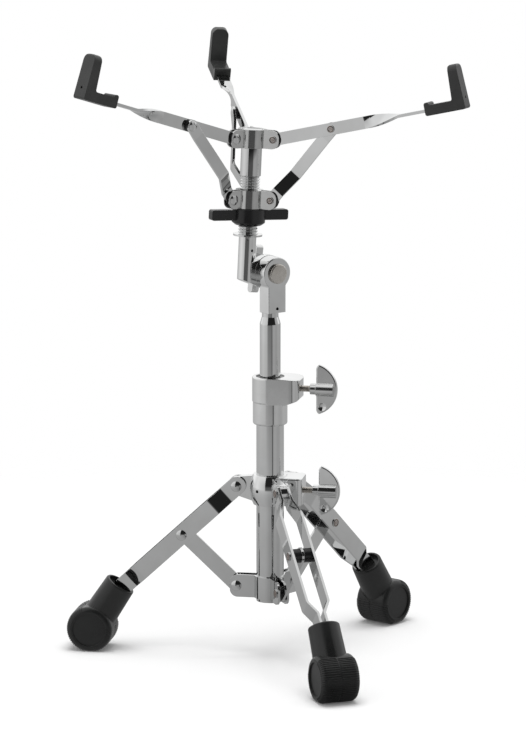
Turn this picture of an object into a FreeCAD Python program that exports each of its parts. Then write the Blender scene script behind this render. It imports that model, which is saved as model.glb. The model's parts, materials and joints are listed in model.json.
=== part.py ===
import FreeCAD
import Part
import math
import os

from FreeCAD import Vector

# Snare drum stand: a folding tripod on a base tube, a telescoping rod, a tilter and a clamping basket.
# Millimetres. The column stands on the Z axis, the floor is z = 0 and the viewer looks along +Y.

# Fits
run_gap = 0.06
fit_gap = 0.02
side_gap = 0.1

# Base tube and lower bracket
tube_d = 25.4
tube_wall = 1.6
tube_length = 187.0
tube_tail = 3.0
lower_pivot_z = 66.55
leg_pivot_r = 30.8
bracket_height = 21.0
bracket_sheet = 2.0
bracket_half_gap = 3.4
bracket_end = 6.0
bracket_corner_r = 7.0
leg_azimuth = 169.73

# Legs and braces
link_length = 68.83
leg_angle = 42.95
strip_width = 16.5
strip_sheet = 2.3
strip_end_reach = 9.4
strip_end_r = 8.2
strip_mid_half_gap = 8.9
strip_foot_half_gap = 2.0
upper_joggle_start = 13.0
upper_joggle_length = 15.0
lower_joggle_lead = 23.5
lower_joggle_length = 12.0
strip_insert = 22.0
bend_r = 4.0
brace_width = 15.0
brace_sheet = 2.3
leg_spacer_d = 13.0
leg_rivet_d = 6.0
leg_rivet_head_d = 10.0
leg_rivet_head_h = 1.6
leg_rivet_tail_d = 8.2
leg_rivet_tail_h = 0.9

# Rubber feet
wheel_d = 42.4
wheel_width = 36.0
wheel_edge_r = 4.5
wheel_face_d = 31.0
wheel_face_depth = 1.2
wheel_flat = 0.25
foot_drop = 8.7
foot_sleeve_angle = 57.0
foot_sleeve_length = 49.5
foot_sleeve_top_d = 28.8
foot_sleeve_root_d = 32.0
foot_sleeve_rim_r = 1.6
foot_mouth_wall = 2.4
foot_mouth_depth = 4.0

# Sliding leg collar
collar_height = 28.0
collar_belly_d = 37.2
collar_end_d = 31.0
collar_rise = 12.15
collar_lug = 6.6
collar_lug_end_r = 8.6
collar_boss_azimuth = -10.3
collar_boss_reach = 31.7
collar_boss_width = 29.0
collar_boss_height = 26.0
collar_boss_edge_r = 5.0
collar_top_edge_r = 1.5
collar_peg_hole_d = 3.0

# Height clamp
clamp_azimuth = -13.0
clamp_height = 24.0
clamp_boss_low = 4.4
clamp_boss_top = 1.0
clamp_d = 33.0
clamp_boss_reach = 29.6
clamp_boss_width = 32.0
clamp_boss_edge_r = 9.5
clamp_boss_low_r = 4.0
clamp_edge_r = 1.4
clamp_sleeve_d = 31.8
clamp_sleeve_length = 20.5
clamp_sleeve_edge_r = 2.0
bush_depth = 16.0
bush_flange_d = 26.4
bush_flange_h = 2.6
bush_recess = 1.0

# Wing screws
screw_d = 6.0
screw_stand = 8.4
wing_neck_d = 10.3
wing_neck_length = 5.4
wing_barrel_d = 12.9
wing_barrel_length = 16.4
wing_reach = 19.6
wing_span = 47.2
wing_sheet = 4.2
wing_tip_r = 5.0
wing_edge_r = 1.2
wing_dimple_d = 7.7
wing_dimple_depth = 1.2
wing_dimple_in = 5.6
wing_dimple_out = 16.0

# Upper rod and its guide
rod_d = 19.05
rod_wall = 1.5
rod_depth = 146.0
neck_d = 15.2
neck_length = 4.5
neck_taper = 6.5
spigot_d = 12.0
spigot_length = 11.5
guide_flange = 6.0
guide_spigot = 12.0

# Tilter
pivot_rise = 96.45
pivot_azimuth = -54.0
tilt_angle = -3.19
block_front = 11.05
block_back = 2.7
block_width = 19.5
block_drop = 36.5
block_disc_d = 29.8
block_edge_r = 1.0
block_blend_r = 2.5
block_pin_d = 3.0
block_pin_depth = 4.0
block_pin_rise = 4.0
socket_d = 17.0
socket_roof = 2.0
bolt_d = 8.0
bolt_head_d = 18.2
bolt_head_h = 3.0
bolt_head_edge_r = 1.2
lug_d = 30.4
lug_thick = 7.6
post_back = 11.0
post_side = 19.2
neck_tube_d = 15.9
neck_tube_top = 33.0
web_top = 9.0
web_slope = 21.3
web_margin = 0.8
post_pin_d = 2.6
post_pin_depth = 4.0
post_pin_z = 19.9
post_set_d = 2.2
post_set_z = 30.4
post_set_turn = -36.0
tilter_nut_d = 15.0
tilter_nut_wing_span = 44.0
tilter_nut_wing_sheet = 7.4
tilter_nut_wing_length = 7.2
tilter_nut_turn = 8.0

# Basket post and collars
washer_d = 26.6
washer_h = 1.6
thread_d = 18.0
post_d = 19.05
post_chamfer = 1.2
smooth_start = 87.0
basket_azimuth = 100.45
upper_collar_z = 122.3
lower_collar_z = 66.9
basket_pivot_r = 21.2
hub_d = 22.2
basket_sheet = 1.7
basket_collar_height = 16.8
basket_half_gap = 2.1
basket_lug_end = 5.9
basket_lug_corner_r = 7.0
basket_rivet_d = 5.0
basket_rivet_head_d = 9.4
basket_rivet_head_h = 1.0
basket_rivet_tail_d = 7.0
basket_rivet_tail_h = 0.8
basket_washer_d = 14.0

# Basket nut
nut_d = 30.4
nut_height = 15.4
nut_taper = 2.4
nut_foot_d = 24.0
nut_span = 76.0
nut_wing_width = 8.0
nut_wing_height = 9.6
nut_wing_lift = 4.5
nut_wing_edge_r = 2.0
nut_azimuth = 25.0

# Basket arms, struts and holders
arm_slope = 14.76
arm_width = 11.2
arm_sheet = 2.5
arm_link = 55.58
arm_twist_start = 88.0
arm_twist_length = 34.0
arm_twist_steps = 6
arm_length = 180.0
arm_washer_d = 11.6
arm_washer_h = 1.9
strut_joggle_start = 10.5
strut_joggle_length = 20.0
strut_crank = 9.5
strut_rest = 12.0
strut_slack = 0.9
holder_grip = 31.7
holder_overhang = 6.3
holder_width = 15.5
holder_bottom = 4.5
holder_seat = 4.8
holder_lip = 7.5
holder_lip_length = 4.8
holder_back = 11.3
holder_taper = 1.5
holder_height = 36.5
holder_edge_r = 2.0
holder_top_r = 6.0
holder_pin_d = 2.4
holder_pin_depth = 3.0
holder_pin_z = 5.8

# Worked-out places
leg_azimuths = [leg_azimuth + 120.0 * step for step in range(3)]
basket_azimuths = [basket_azimuth + 120.0 * step for step in range(3)]
leg_sin = math.sin(math.radians(leg_angle))
leg_cos = math.cos(math.radians(leg_angle))
upper_pivot_z = lower_pivot_z + 2.0 * link_length * leg_sin
tube_bottom = lower_pivot_z - bracket_height / 2.0 - tube_tail
tube_top = tube_bottom + tube_length
tube_bore = tube_d - 2.0 * tube_wall
clamp_top = tube_top + clamp_height
clamp_screw_z = tube_top + (clamp_boss_low + clamp_height - clamp_boss_top) / 2.0
rod_bottom = clamp_top - rod_depth
pivot_z = clamp_top + pivot_rise
block_bottom = pivot_z - block_drop
wheel_z = wheel_d / 2.0 - wheel_flat
foot_run = (upper_pivot_z - wheel_z - foot_drop * leg_cos) / leg_sin
foot_r = leg_pivot_r + foot_run * leg_cos - foot_drop * leg_sin
mouth_run = foot_run - foot_sleeve_length * math.cos(math.radians(foot_sleeve_angle - leg_angle))
strip_end = mouth_run + strip_insert
collar_half_gap = collar_lug / 2.0 + side_gap
holder_start = arm_length - holder_grip
holder_end = arm_length + holder_overhang
washer_top = neck_tube_top + washer_h
post_top = upper_collar_z + basket_collar_height / 2.0
nut_top = lower_collar_z - basket_collar_height / 2.0 - side_gap
arm_rise = math.radians(arm_slope)
joint_r = basket_pivot_r + arm_link * math.cos(arm_rise)
joint_z = upper_collar_z + arm_link * math.sin(arm_rise)
strut_length = math.hypot(joint_r - basket_pivot_r, joint_z - lower_collar_z)
strut_slope = math.degrees(math.atan2(joint_z - lower_collar_z, joint_r - basket_pivot_r))
strut_offset = arm_sheet + arm_washer_h + 2.0 * side_gap

ORIGIN = Vector(0, 0, 0)
X = Vector(1, 0, 0)
Y = Vector(0, 1, 0)
Z = Vector(0, 0, 1)


# Shape helpers

def rounded_wire(corners):
    """Closed wire in the XY plane through (x, y, radius) corners, each rounded to its radius."""
    trims = []
    for index, (x, y, radius) in enumerate(corners):
        here = Vector(x, y, 0)
        before = corners[index - 1]
        after = corners[(index + 1) % len(corners)]
        back = (Vector(before[0], before[1], 0) - here).normalize()
        ahead = (Vector(after[0], after[1], 0) - here).normalize()
        if radius <= 0:
            trims.append((here, None, here))
            continue
        half = back.getAngle(ahead) / 2.0
        middle = (back + ahead).normalize()
        reach = radius / math.tan(half)
        top = here + middle * (radius / math.sin(half) - radius)
        trims.append((here + back * reach, top, here + ahead * reach))
    edges = []
    for index, (start, top, end) in enumerate(trims):
        if top is not None:
            edges.append(Part.Arc(start, top, end).toShape())
        following = trims[(index + 1) % len(trims)][0]
        if (following - end).Length > 1e-6:
            edges.append(Part.makeLine(end, following))
    return Part.Wire(edges)


def plate(corners, low, high):
    """Solid over the rounded outline, between the heights low and high."""
    wire = rounded_wire(corners)
    wire.translate(Vector(0, 0, low))
    return Part.Face(wire).extrude(Vector(0, 0, high - low))


def turned(corners):
    """Solid of revolution about Z of the rounded (radius, height) outline."""
    face = Part.Face(rounded_wire(corners))
    face.rotate(ORIGIN, X, 90)
    return face.revolve(ORIGIN, Z, 360)


def ring(outer_d, inner_d, low, high):
    """Plain ring about Z."""
    outer = Part.makeCylinder(outer_d / 2.0, high - low, Vector(0, 0, low))
    return outer.cut(Part.makeCylinder(inner_d / 2.0, high - low, Vector(0, 0, low)))


def side_plate(corners, near, far):
    """Plate over an outline in the XZ plane, between y = near and y = far."""
    solid = plate(corners, -far, -near)
    solid.rotate(ORIGIN, X, 90)
    return solid


def cross_pin(diameter, x, z, near, far):
    """Cylinder along Y through (x, z), from y = near to y = far."""
    return Part.makeCylinder(diameter / 2.0, far - near, Vector(x, near, z), Y)


def along_y(shape, x, z):
    """Lay a shape turned about Z along +Y, on the line through (x, z)."""
    shape.rotate(ORIGIN, X, -90)
    shape.translate(Vector(x, 0, z))
    return shape


def box(x0, x1, y0, y1, z0, z1):
    """Box between two corners."""
    return Part.makeBox(x1 - x0, y1 - y0, z1 - z0, Vector(x0, y0, z0))


def spun(shape, azimuth):
    """Copy of a shape turned about Z."""
    copy = shape.copy()
    copy.rotate(ORIGIN, Z, azimuth)
    return copy


def edges_at(shape, height):
    """Edges that lie in the horizontal plane at a height."""
    found = []
    for edge in shape.Edges:
        limits = edge.BoundBox
        if abs(limits.ZMin - height) < 1e-4 and abs(limits.ZMax - height) < 1e-4:
            found.append(edge)
    return found


def bent_strip(path, sheet, low, high):
    """Sheet bent along an XY path of (x, y) points, standing from z = low to z = high."""
    sides = []
    for side in (1.0, -1.0):
        row = []
        for index, (x, y) in enumerate(path):
            here = Vector(x, y, 0)
            before = Vector(*path[max(index - 1, 0)], 0)
            after = Vector(*path[min(index + 1, len(path) - 1)], 0)
            normals = []
            for start, end in ((before, here), (here, after)):
                run = end - start
                if run.Length > 1e-9:
                    normals.append(Vector(-run.y, run.x, 0).normalize())
            first = normals[0]
            last = normals[-1]
            offset = (first + last) * (side * sheet / 2.0 / (1.0 + first.dot(last)))
            turn = first.cross(last).z
            radius = 0.0
            if abs(turn) > 1e-6:
                radius = bend_r - math.copysign(side * sheet / 2.0, side * turn) * side
            spot = here + offset
            row.append((spot.x, spot.y, radius))
        sides.append(row)
    return plate(sides[0] + sides[1][::-1], low, high)


def rivet(shaft_d, head_d, head_h, tail_d, tail_h, tail_at, head_at):
    """Rivet about Z: domed head at the top, rolled hollow tail at the bottom."""
    tail_end = tail_at - tail_h
    hollow = shaft_d * 0.3
    lines = [
        (0.0, tail_end + shaft_d * 0.5),
        (hollow, tail_end + shaft_d * 0.5),
        (hollow, tail_end),
        (tail_d / 2.0, tail_end),
        (tail_d / 2.0, tail_at),
        (shaft_d / 2.0, tail_at),
        (shaft_d / 2.0, head_at),
        (head_d / 2.0, head_at),
    ]
    points = [Vector(radius, 0, height) for radius, height in lines]
    dome_r = (head_d * head_d / 4.0 + head_h * head_h) / (2.0 * head_h)
    half_turn = math.asin(head_d / 2.0 / dome_r) / 2.0
    crown = Vector(0, 0, head_at + head_h)
    dome_centre = crown - Vector(0, 0, dome_r)
    shoulder = dome_centre + Vector(math.sin(half_turn), 0, math.cos(half_turn)) * dome_r
    edges = [Part.makeLine(a, b) for a, b in zip(points, points[1:])]
    edges.append(Part.Arc(points[-1], shoulder, crown).toShape())
    edges.append(Part.makeLine(crown, points[0]))
    return Part.Face(Part.Wire(edges)).revolve(ORIGIN, Z, 360)


def group(shapes):
    """One node holding separate solids."""
    return Part.makeCompound(shapes)


# Pressed three-lug collars, shared by the lower bracket and both basket collars

def collar_plates(azimuths, core_d, sheet, height, half_gap, pivot_r, end, corner_r, hole_d, z_mid):
    """Three bent plates round a core, each making one cheek of two neighbouring lugs."""
    reach = pivot_r + end
    half = height / 2.0
    wide = reach * 3.0
    lug_outline = [
        (0.0, -half, 0.0),
        (reach, -half, corner_r),
        (reach, half, corner_r),
        (0.0, half, 0.0),
    ]
    first = side_plate(lug_outline, half_gap, half_gap + sheet)
    last = side_plate(lug_outline, -half_gap - sheet, -half_gap)
    first = first.cut(cross_pin(hole_d, pivot_r, 0.0, half_gap, half_gap + sheet))
    last = last.cut(cross_pin(hole_d, pivot_r, 0.0, -half_gap - sheet, -half_gap))
    wrap = Part.makeCylinder(core_d / 2.0 + sheet, height, Vector(0, 0, -half))
    one = wrap.fuse([first, spun(last, 120.0)])
    one = one.common(box(-wide, wide, half_gap, wide, -half, half))
    one = one.common(spun(box(-wide, wide, -wide, -half_gap, -half, half), 120.0))
    one = one.cut(Part.makeCylinder(core_d / 2.0, height, Vector(0, 0, -half)))
    one = one.removeSplitter()
    one.translate(Vector(0, 0, z_mid))
    return group([spun(one, azimuth) for azimuth in azimuths])


def lug_rivets(azimuths, pivot_r, z, half_grip, shaft_d, head_d, head_h, tail_d, tail_h):
    """One rivet through each lug, its head on the anticlockwise side."""
    one = rivet(shaft_d, head_d, head_h, tail_d, tail_h, -half_grip, half_grip)
    one = along_y(one, pivot_r, z)
    return group([spun(one, azimuth) for azimuth in azimuths])


def lug_washers(azimuths, pivot_r, z, outer_d, inner_d, low, high):
    """A pair of washers in each lug, either side of the link."""
    upper = along_y(ring(outer_d, inner_d, low, high), pivot_r, z)
    lower = along_y(ring(outer_d, inner_d, -high, -low), pivot_r, z)
    washers = []
    for azimuth in azimuths:
        washers.append(spun(upper, azimuth))
        washers.append(spun(lower, azimuth))
    return group(washers)


# Column

def base_tube():
    return ring(tube_d, tube_bore, tube_bottom, tube_top)


def lower_bracket():
    hole_d = leg_rivet_d + 2.0 * fit_gap
    return collar_plates(leg_azimuths, tube_d + 2.0 * fit_gap, bracket_sheet, bracket_height,
                         bracket_half_gap, leg_pivot_r, bracket_end, bracket_corner_r,
                         hole_d, lower_pivot_z)


def lower_bracket_rivets():
    return lug_rivets(leg_azimuths, leg_pivot_r, lower_pivot_z, bracket_half_gap + bracket_sheet,
                      leg_rivet_d, leg_rivet_head_d, leg_rivet_head_h,
                      leg_rivet_tail_d, leg_rivet_tail_h)


def lower_bracket_washers():
    return lug_washers(leg_azimuths, leg_pivot_r, lower_pivot_z, leg_spacer_d,
                       leg_rivet_d + 2.0 * fit_gap, brace_sheet / 2.0 + side_gap, bracket_half_gap)


def clamp_plan():
    """Round clamp body drawn out by tangents to a flat boss."""
    half = clamp_boss_width / 2.0
    radius = clamp_d / 2.0
    corner = math.hypot(clamp_boss_reach, half)
    touch = math.atan2(half, clamp_boss_reach) + math.acos(radius / corner)
    touch_x = radius * math.cos(touch)
    touch_y = radius * math.sin(touch)
    return [
        (touch_x, -touch_y, 0.0),
        (clamp_boss_reach, -half, clamp_boss_edge_r),
        (clamp_boss_reach, half, clamp_boss_edge_r),
        (touch_x, touch_y, 0.0),
    ]


def height_clamp():
    """Die-cast clamp on the tube's top: sleeve below, a boss tapering out to the wing screw."""
    middle = tube_top + clamp_height / 2.0
    side = side_plate([
        (0.0, tube_top, 0.0),
        (clamp_d / 2.0, tube_top, clamp_boss_low_r),
        (clamp_boss_reach, tube_top + clamp_boss_low, clamp_boss_low_r),
        (clamp_boss_reach, clamp_top - clamp_boss_top, clamp_edge_r),
        (clamp_d / 2.0, clamp_top, 0.0),
        (0.0, clamp_top, 0.0),
    ], -clamp_d, clamp_d)
    boss = plate(clamp_plan(), tube_top, clamp_top).common(side)
    body = turned([
        (0.0, tube_top, 0.0),
        (clamp_d / 2.0, tube_top, clamp_edge_r),
        (clamp_d / 2.0, clamp_top, clamp_edge_r),
        (0.0, clamp_top, 0.0),
    ])
    sleeve_low = tube_top - clamp_sleeve_length
    sleeve = turned([
        (0.0, sleeve_low, 0.0),
        (clamp_sleeve_d / 2.0, sleeve_low, clamp_sleeve_edge_r),
        (clamp_sleeve_d / 2.0, middle, 0.0),
        (0.0, middle, 0.0),
    ])
    casting = body.fuse([boss, sleeve]).removeSplitter()
    mouth_h = bush_flange_h + bush_recess
    tools = [
        Part.makeCylinder(tube_d / 2.0 + fit_gap, clamp_sleeve_length, Vector(0, 0, sleeve_low)),
        Part.makeCylinder(tube_bore / 2.0, clamp_height, Vector(0, 0, tube_top)),
        Part.makeCylinder(bush_flange_d / 2.0 + fit_gap, mouth_h, Vector(0, 0, clamp_top - mouth_h)),
        Part.makeCylinder(screw_d / 2.0 + run_gap, clamp_boss_reach, Vector(0, 0, clamp_screw_z), X),
    ]
    return spun(casting.cut(tools), clamp_azimuth)


def clamp_bush():
    """Nylon bush that guides the rod, held by its flange in the clamp's mouth."""
    low = tube_top - bush_depth
    high = clamp_top - bush_recess
    outer = tube_bore / 2.0 - fit_gap
    inner = rod_d / 2.0 + run_gap
    flange_z = high - bush_flange_h
    return turned([
        (inner, low, 0.0),
        (outer, low, 0.0),
        (outer, flange_z, 0.0),
        (bush_flange_d / 2.0, flange_z, 0.0),
        (bush_flange_d / 2.0, high, 0.0),
        (inner, high, 0.0),
    ])


# Wing screws

def wing_outline():
    """D-shaped wing in the XZ plane: flat towards the clamp, round outside."""
    half = wing_span / 2.0
    radius = (half * half + wing_reach * wing_reach) / (2.0 * wing_reach)
    centre_x = wing_reach - radius
    face = wing_sheet / 2.0
    disc = Part.makeCylinder(radius, wing_sheet, Vector(centre_x, 0, -face))
    wing = disc.common(plate([
        (0.0, -half, wing_tip_r),
        (wing_reach, -half, 0.0),
        (wing_reach, half, 0.0),
        (0.0, half, wing_tip_r),
    ], -face, face))
    wing = wing.makeFillet(wing_edge_r, edges_at(wing, face) + edges_at(wing, -face))
    wing.rotate(ORIGIN, X, 90)
    return wing


def wing_knob(start, z, azimuth):
    """Cast wing and barrel, its neck starting at a radius from the column."""
    flat = start + wing_neck_length
    dish_half = wing_dimple_d / 2.0
    dish_r = (dish_half ** 2 + wing_dimple_depth ** 2) / (2.0 * wing_dimple_depth)
    dish_y = wing_sheet / 2.0 - wing_dimple_depth + dish_r
    wing = wing_outline().cut([
        Part.makeSphere(dish_r, Vector(wing_dimple_in, -dish_y, -wing_dimple_out)),
        Part.makeSphere(dish_r, Vector(wing_dimple_in, dish_y, -wing_dimple_out)),
    ])
    wing.translate(Vector(flat, 0, 0))
    barrel = Part.makeCylinder(wing_barrel_d / 2.0, wing_barrel_length, Vector(flat, 0, 0), X)
    neck = Part.makeCylinder(wing_neck_d / 2.0, wing_neck_length, Vector(start, 0, 0), X)
    knob = wing.fuse([barrel, neck]).removeSplitter()
    socket = Part.makeCylinder(screw_d / 2.0 + fit_gap, wing_neck_length + wing_barrel_length / 2.0,
                               Vector(start, 0, 0), X)
    knob = knob.cut(socket)
    knob.translate(Vector(0, 0, z))
    return spun(knob, azimuth)


def wing_screw(tip, start, z, azimuth):
    """Clamping screw from the clamped face out into the knob's barrel."""
    end = start + wing_neck_length + wing_barrel_length / 2.0
    screw = Part.makeCylinder(screw_d / 2.0, end - tip, Vector(tip, 0, z), X)
    return spun(screw, azimuth)


# Rod and tilter

def upper_rod():
    """Rod with a drawn-in neck and a spigot that carries the tilter."""
    outer = rod_d / 2.0
    bore = outer - rod_wall
    neck_low = block_bottom - neck_length
    taper_low = neck_low - neck_taper
    return turned([
        (bore, rod_bottom, 0.0),
        (outer, rod_bottom, 0.0),
        (outer, taper_low, neck_taper / 2.0),
        (neck_d / 2.0, neck_low, neck_taper / 4.0),
        (neck_d / 2.0, block_bottom, 0.0),
        (spigot_d / 2.0, block_bottom, 0.0),
        (spigot_d / 2.0, block_bottom + spigot_length, 0.0),
        (0.0, block_bottom + spigot_length, 0.0),
        (0.0, taper_low, 0.0),
        (bore, taper_low, 0.0),
    ])


def rod_guide():
    """Nylon guide that slides in the base tube and lets the rod turn on its spigot."""
    outer = tube_bore / 2.0 - run_gap
    inner = rod_d / 2.0 - rod_wall - run_gap
    low = rod_bottom - guide_flange
    return turned([
        (0.0, low, 0.0),
        (outer, low, 0.8),
        (outer, rod_bottom, 0.0),
        (inner, rod_bottom, 0.0),
        (inner, rod_bottom + guide_spigot, 1.0),
        (0.0, rod_bottom + guide_spigot, 0.0),
    ])


def along_pivot(shape):
    """Turn a shape from the tilter's own frame, pivot along X, to its place on the column."""
    shape.rotate(ORIGIN, Z, pivot_azimuth)
    shape.translate(Vector(0, 0, pivot_z))
    return shape


def tilted(shape):
    """Lean a shape of the upper group, made upright at the pivot, to the resting tilt."""
    lean_axis = Vector(math.cos(math.radians(pivot_azimuth)), math.sin(math.radians(pivot_azimuth)), 0)
    shape.rotate(Vector(0, 0, pivot_z), lean_axis, tilt_angle)
    return shape


def pivot_pin(diameter, start, end):
    """Cylinder along the pivot axis in the tilter's own frame."""
    return Part.makeCylinder(diameter / 2.0, end - start, Vector(start, 0, 0), X)


def tilter_block_face():
    """Outline of the lower casting in the XY plane: round head blended into straight sides."""
    half = block_width / 2.0
    radius = block_disc_d / 2.0
    blend_y = -math.sqrt((radius + block_blend_r) ** 2 - (half + block_blend_r) ** 2)
    share = radius / (radius + block_blend_r)
    sides = []
    for side in (1.0, -1.0):
        centre = Vector(side * (half + block_blend_r), blend_y, 0)
        foot = Vector(side * half, blend_y, 0)
        touch = centre * share
        lean = ((foot - centre).normalize() + (touch - centre).normalize()).normalize()
        sides.append((foot, centre + lean * block_blend_r, touch))
    right, left = sides
    low_right = Vector(half, -block_drop, 0)
    low_left = Vector(-half, -block_drop, 0)
    edges = [
        Part.Arc(right[0], right[1], right[2]).toShape(),
        Part.Arc(right[2], Vector(0, radius, 0), left[2]).toShape(),
        Part.Arc(left[2], left[1], left[0]).toShape(),
        Part.makeLine(left[0], low_left),
        Part.makeLine(low_left, low_right),
        Part.makeLine(low_right, right[0]),
    ]
    return Part.Face(Part.Wire(edges))


def tilter_lower():
    """Casting on the rod: a block with a round pivot head and a socket for the rod's spigot."""
    casting = tilter_block_face().extrude(Vector(0, 0, block_back + block_front))
    casting = casting.makeFillet(block_edge_r, edges_at(casting, block_back + block_front))
    casting.translate(Vector(0, 0, -block_back))
    casting.rotate(ORIGIN, X, 90)
    casting.rotate(ORIGIN, Z, 90)
    socket_low = Vector(0, 0, -block_drop)
    casting = casting.fuse(Part.makeCylinder(socket_d / 2.0, spigot_length + socket_roof, socket_low))
    tools = [
        Part.makeCylinder(spigot_d / 2.0 + fit_gap, spigot_length + fit_gap, socket_low),
        pivot_pin(bolt_d + 2.0 * fit_gap, -block_back, block_front),
        Part.makeCylinder(block_pin_d / 2.0, block_pin_depth,
                          Vector(block_front - block_pin_depth, 0, block_pin_rise - block_drop), X),
    ]
    return along_pivot(casting.cut(tools))


def tilter_bolt():
    """Pivot bolt: round head in front of the lower casting, shank through both castings."""
    tail = -block_back - side_gap - lug_thick - tilter_nut_depth()
    head = bolt_head_d / 2.0
    bolt = turned([
        (0.0, tail, 0.0),
        (bolt_d / 2.0, tail, 0.6),
        (bolt_d / 2.0, block_front, 0.0),
        (head, block_front, 0.0),
        (head, block_front + bolt_head_h, bolt_head_edge_r),
        (0.0, block_front + bolt_head_h, 0.0),
    ])
    bolt.rotate(ORIGIN, Y, 90)
    return along_pivot(bolt)


def tilter_nut_depth():
    """Length of the tilter nut: it passes the post's tube before its wings spread."""
    lug_back = block_back + side_gap + lug_thick
    return post_back + neck_tube_d / 2.0 + side_gap * 3.0 - lug_back + tilter_nut_wing_length


def tilter_upper():
    """Casting that carries the post: pivot lug, web and upright tube with a slanted foot."""
    front = -block_back - side_gap
    lug = pivot_pin(lug_d, front - lug_thick, front)
    slope = math.tan(math.radians(web_slope))
    edge_z = -(lug_d / 2.0 + web_margin) / math.cos(math.radians(web_slope))
    left = -post_side - neck_tube_d
    web = plate([
        (0.0, edge_z, 0.0),
        (0.0, lug_d / 2.0 - web_margin, 0.0),
        (-post_side, web_top, 0.0),
        (-post_side, edge_z + slope * post_side, 0.0),
    ], front - lug_thick, front)
    web.rotate(ORIGIN, X, 90)
    web.rotate(ORIGIN, Z, 90)
    tube = Part.makeCylinder(neck_tube_d / 2.0, neck_tube_top + lug_d,
                             Vector(-post_back, -post_side, -lug_d))
    below = plate([
        (0.0, edge_z, 0.0),
        (left, edge_z - slope * left, 0.0),
        (left, -3.0 * lug_d, 0.0),
        (0.0, -3.0 * lug_d, 0.0),
    ], -post_back - neck_tube_d, -post_back + neck_tube_d)
    below.rotate(ORIGIN, X, 90)
    below.rotate(ORIGIN, Z, 90)
    casting = lug.fuse([web, tube.cut(below)]).removeSplitter()
    socket = Part.makeCylinder(spigot_d / 2.0 + fit_gap, spigot_length + fit_gap,
                               Vector(-post_back, -post_side, neck_tube_top - spigot_length - fit_gap))
    pin = Part.makeCylinder(post_pin_d / 2.0, post_pin_depth,
                            Vector(neck_tube_d / 2.0 - post_pin_depth, 0, post_pin_z), X)
    set_screw = Part.makeCylinder(post_set_d / 2.0, neck_tube_d / 2.0, Vector(0, 0, post_set_z), X)
    holes = group([pin, spun(set_screw, post_set_turn)])
    holes.translate(Vector(-post_back, -post_side, 0))
    tools = [socket, pivot_pin(bolt_d + 2.0 * run_gap, front - lug_thick, front)] + holes.Solids
    return tilted(along_pivot(casting.cut(tools)))


def tilter_nut():
    """Wing nut behind the tilter, its wings clear of the post's tube all the way round."""
    start = -block_back - side_gap * 2.0 - lug_thick
    end = -block_back - side_gap - lug_thick - tilter_nut_depth()
    hub = pivot_pin(tilter_nut_d, end, start)
    half = tilter_nut_wing_span / 2.0
    wing = side_plate([
        (end, -half, tilter_nut_wing_length * 0.45),
        (end + tilter_nut_wing_length, -half, tilter_nut_wing_length * 0.45),
        (end + tilter_nut_wing_length, half, tilter_nut_wing_length * 0.45),
        (end, half, tilter_nut_wing_length * 0.45),
    ], -tilter_nut_wing_sheet / 2.0, tilter_nut_wing_sheet / 2.0)
    nut = hub.fuse(wing).removeSplitter()
    nut = nut.cut(pivot_pin(bolt_d + 2.0 * run_gap, end, start))
    nut.rotate(ORIGIN, X, -tilter_nut_turn)
    return along_pivot(nut)


# Basket: made round its own post with heights from the tilter pivot, then set in place

def on_post(shape):
    """Carry a basket shape to the post's axis and lean it to the resting tilt."""
    place = Vector(-post_back, -post_side, 0)
    turn = math.radians(pivot_azimuth)
    shift = Vector(place.x * math.cos(turn) - place.y * math.sin(turn),
                   place.x * math.sin(turn) + place.y * math.cos(turn), pivot_z)
    shape.translate(shift)
    return tilted(shape)


def basket_post():
    """Post: spigot in the tilter, threaded lower stretch, smooth upper stretch."""
    thread = thread_d / 2.0
    smooth = post_d / 2.0
    post = turned([
        (0.0, neck_tube_top - spigot_length, 0.0),
        (spigot_d / 2.0, neck_tube_top - spigot_length, 0.0),
        (spigot_d / 2.0, washer_top, 0.0),
        (thread, washer_top, 0.0),
        (thread, smooth_start, 0.0),
        (smooth, smooth_start + post_chamfer, 0.0),
        (smooth, post_top, post_chamfer),
        (0.0, post_top, 0.0),
    ])
    return on_post(post)


def post_washer():
    return on_post(ring(washer_d, spigot_d + 2.0 * fit_gap, neck_tube_top, washer_top))


def basket_hub(inner_d, z_mid):
    half = basket_collar_height / 2.0
    return on_post(ring(hub_d, inner_d, z_mid - half, z_mid + half))


def basket_plates(z_mid):
    plates = collar_plates(basket_azimuths, hub_d + 2.0 * fit_gap, basket_sheet, basket_collar_height,
                           basket_half_gap, basket_pivot_r, basket_lug_end, basket_lug_corner_r,
                           basket_rivet_d + 2.0 * fit_gap, z_mid)
    return on_post(plates)


def basket_rivets(z_mid):
    rivets = lug_rivets(basket_azimuths, basket_pivot_r, z_mid, basket_half_gap + basket_sheet,
                        basket_rivet_d, basket_rivet_head_d, basket_rivet_head_h,
                        basket_rivet_tail_d, basket_rivet_tail_h)
    return on_post(rivets)


def basket_washers(z_mid):
    washers = lug_washers(basket_azimuths, basket_pivot_r, z_mid, basket_washer_d,
                          basket_rivet_d + 2.0 * fit_gap, arm_sheet / 2.0 + side_gap, basket_half_gap)
    return on_post(washers)


def basket_nut():
    """Moulded wing nut under the lower collar that lifts it and closes the basket."""
    low = nut_top - nut_height
    hub = turned([
        (0.0, low, 0.0),
        (nut_foot_d / 2.0, low, 0.8),
        (nut_d / 2.0, low + nut_taper, 1.0),
        (nut_d / 2.0, nut_top, 0.8),
        (0.0, nut_top, 0.0),
    ])
    wing_low = low + nut_wing_lift
    half = nut_span / 2.0
    wing = side_plate([
        (-half, wing_low, nut_wing_edge_r),
        (half, wing_low, nut_wing_edge_r),
        (half, wing_low + nut_wing_height, nut_wing_edge_r),
        (-half, wing_low + nut_wing_height, nut_wing_edge_r),
    ], -nut_wing_width / 2.0, nut_wing_width / 2.0)
    nut = hub.fuse(wing).removeSplitter()
    bore = Part.makeCylinder(thread_d / 2.0 + run_gap, nut_height, Vector(0, 0, low))
    return on_post(spun(nut.cut(bore), nut_azimuth))


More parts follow.
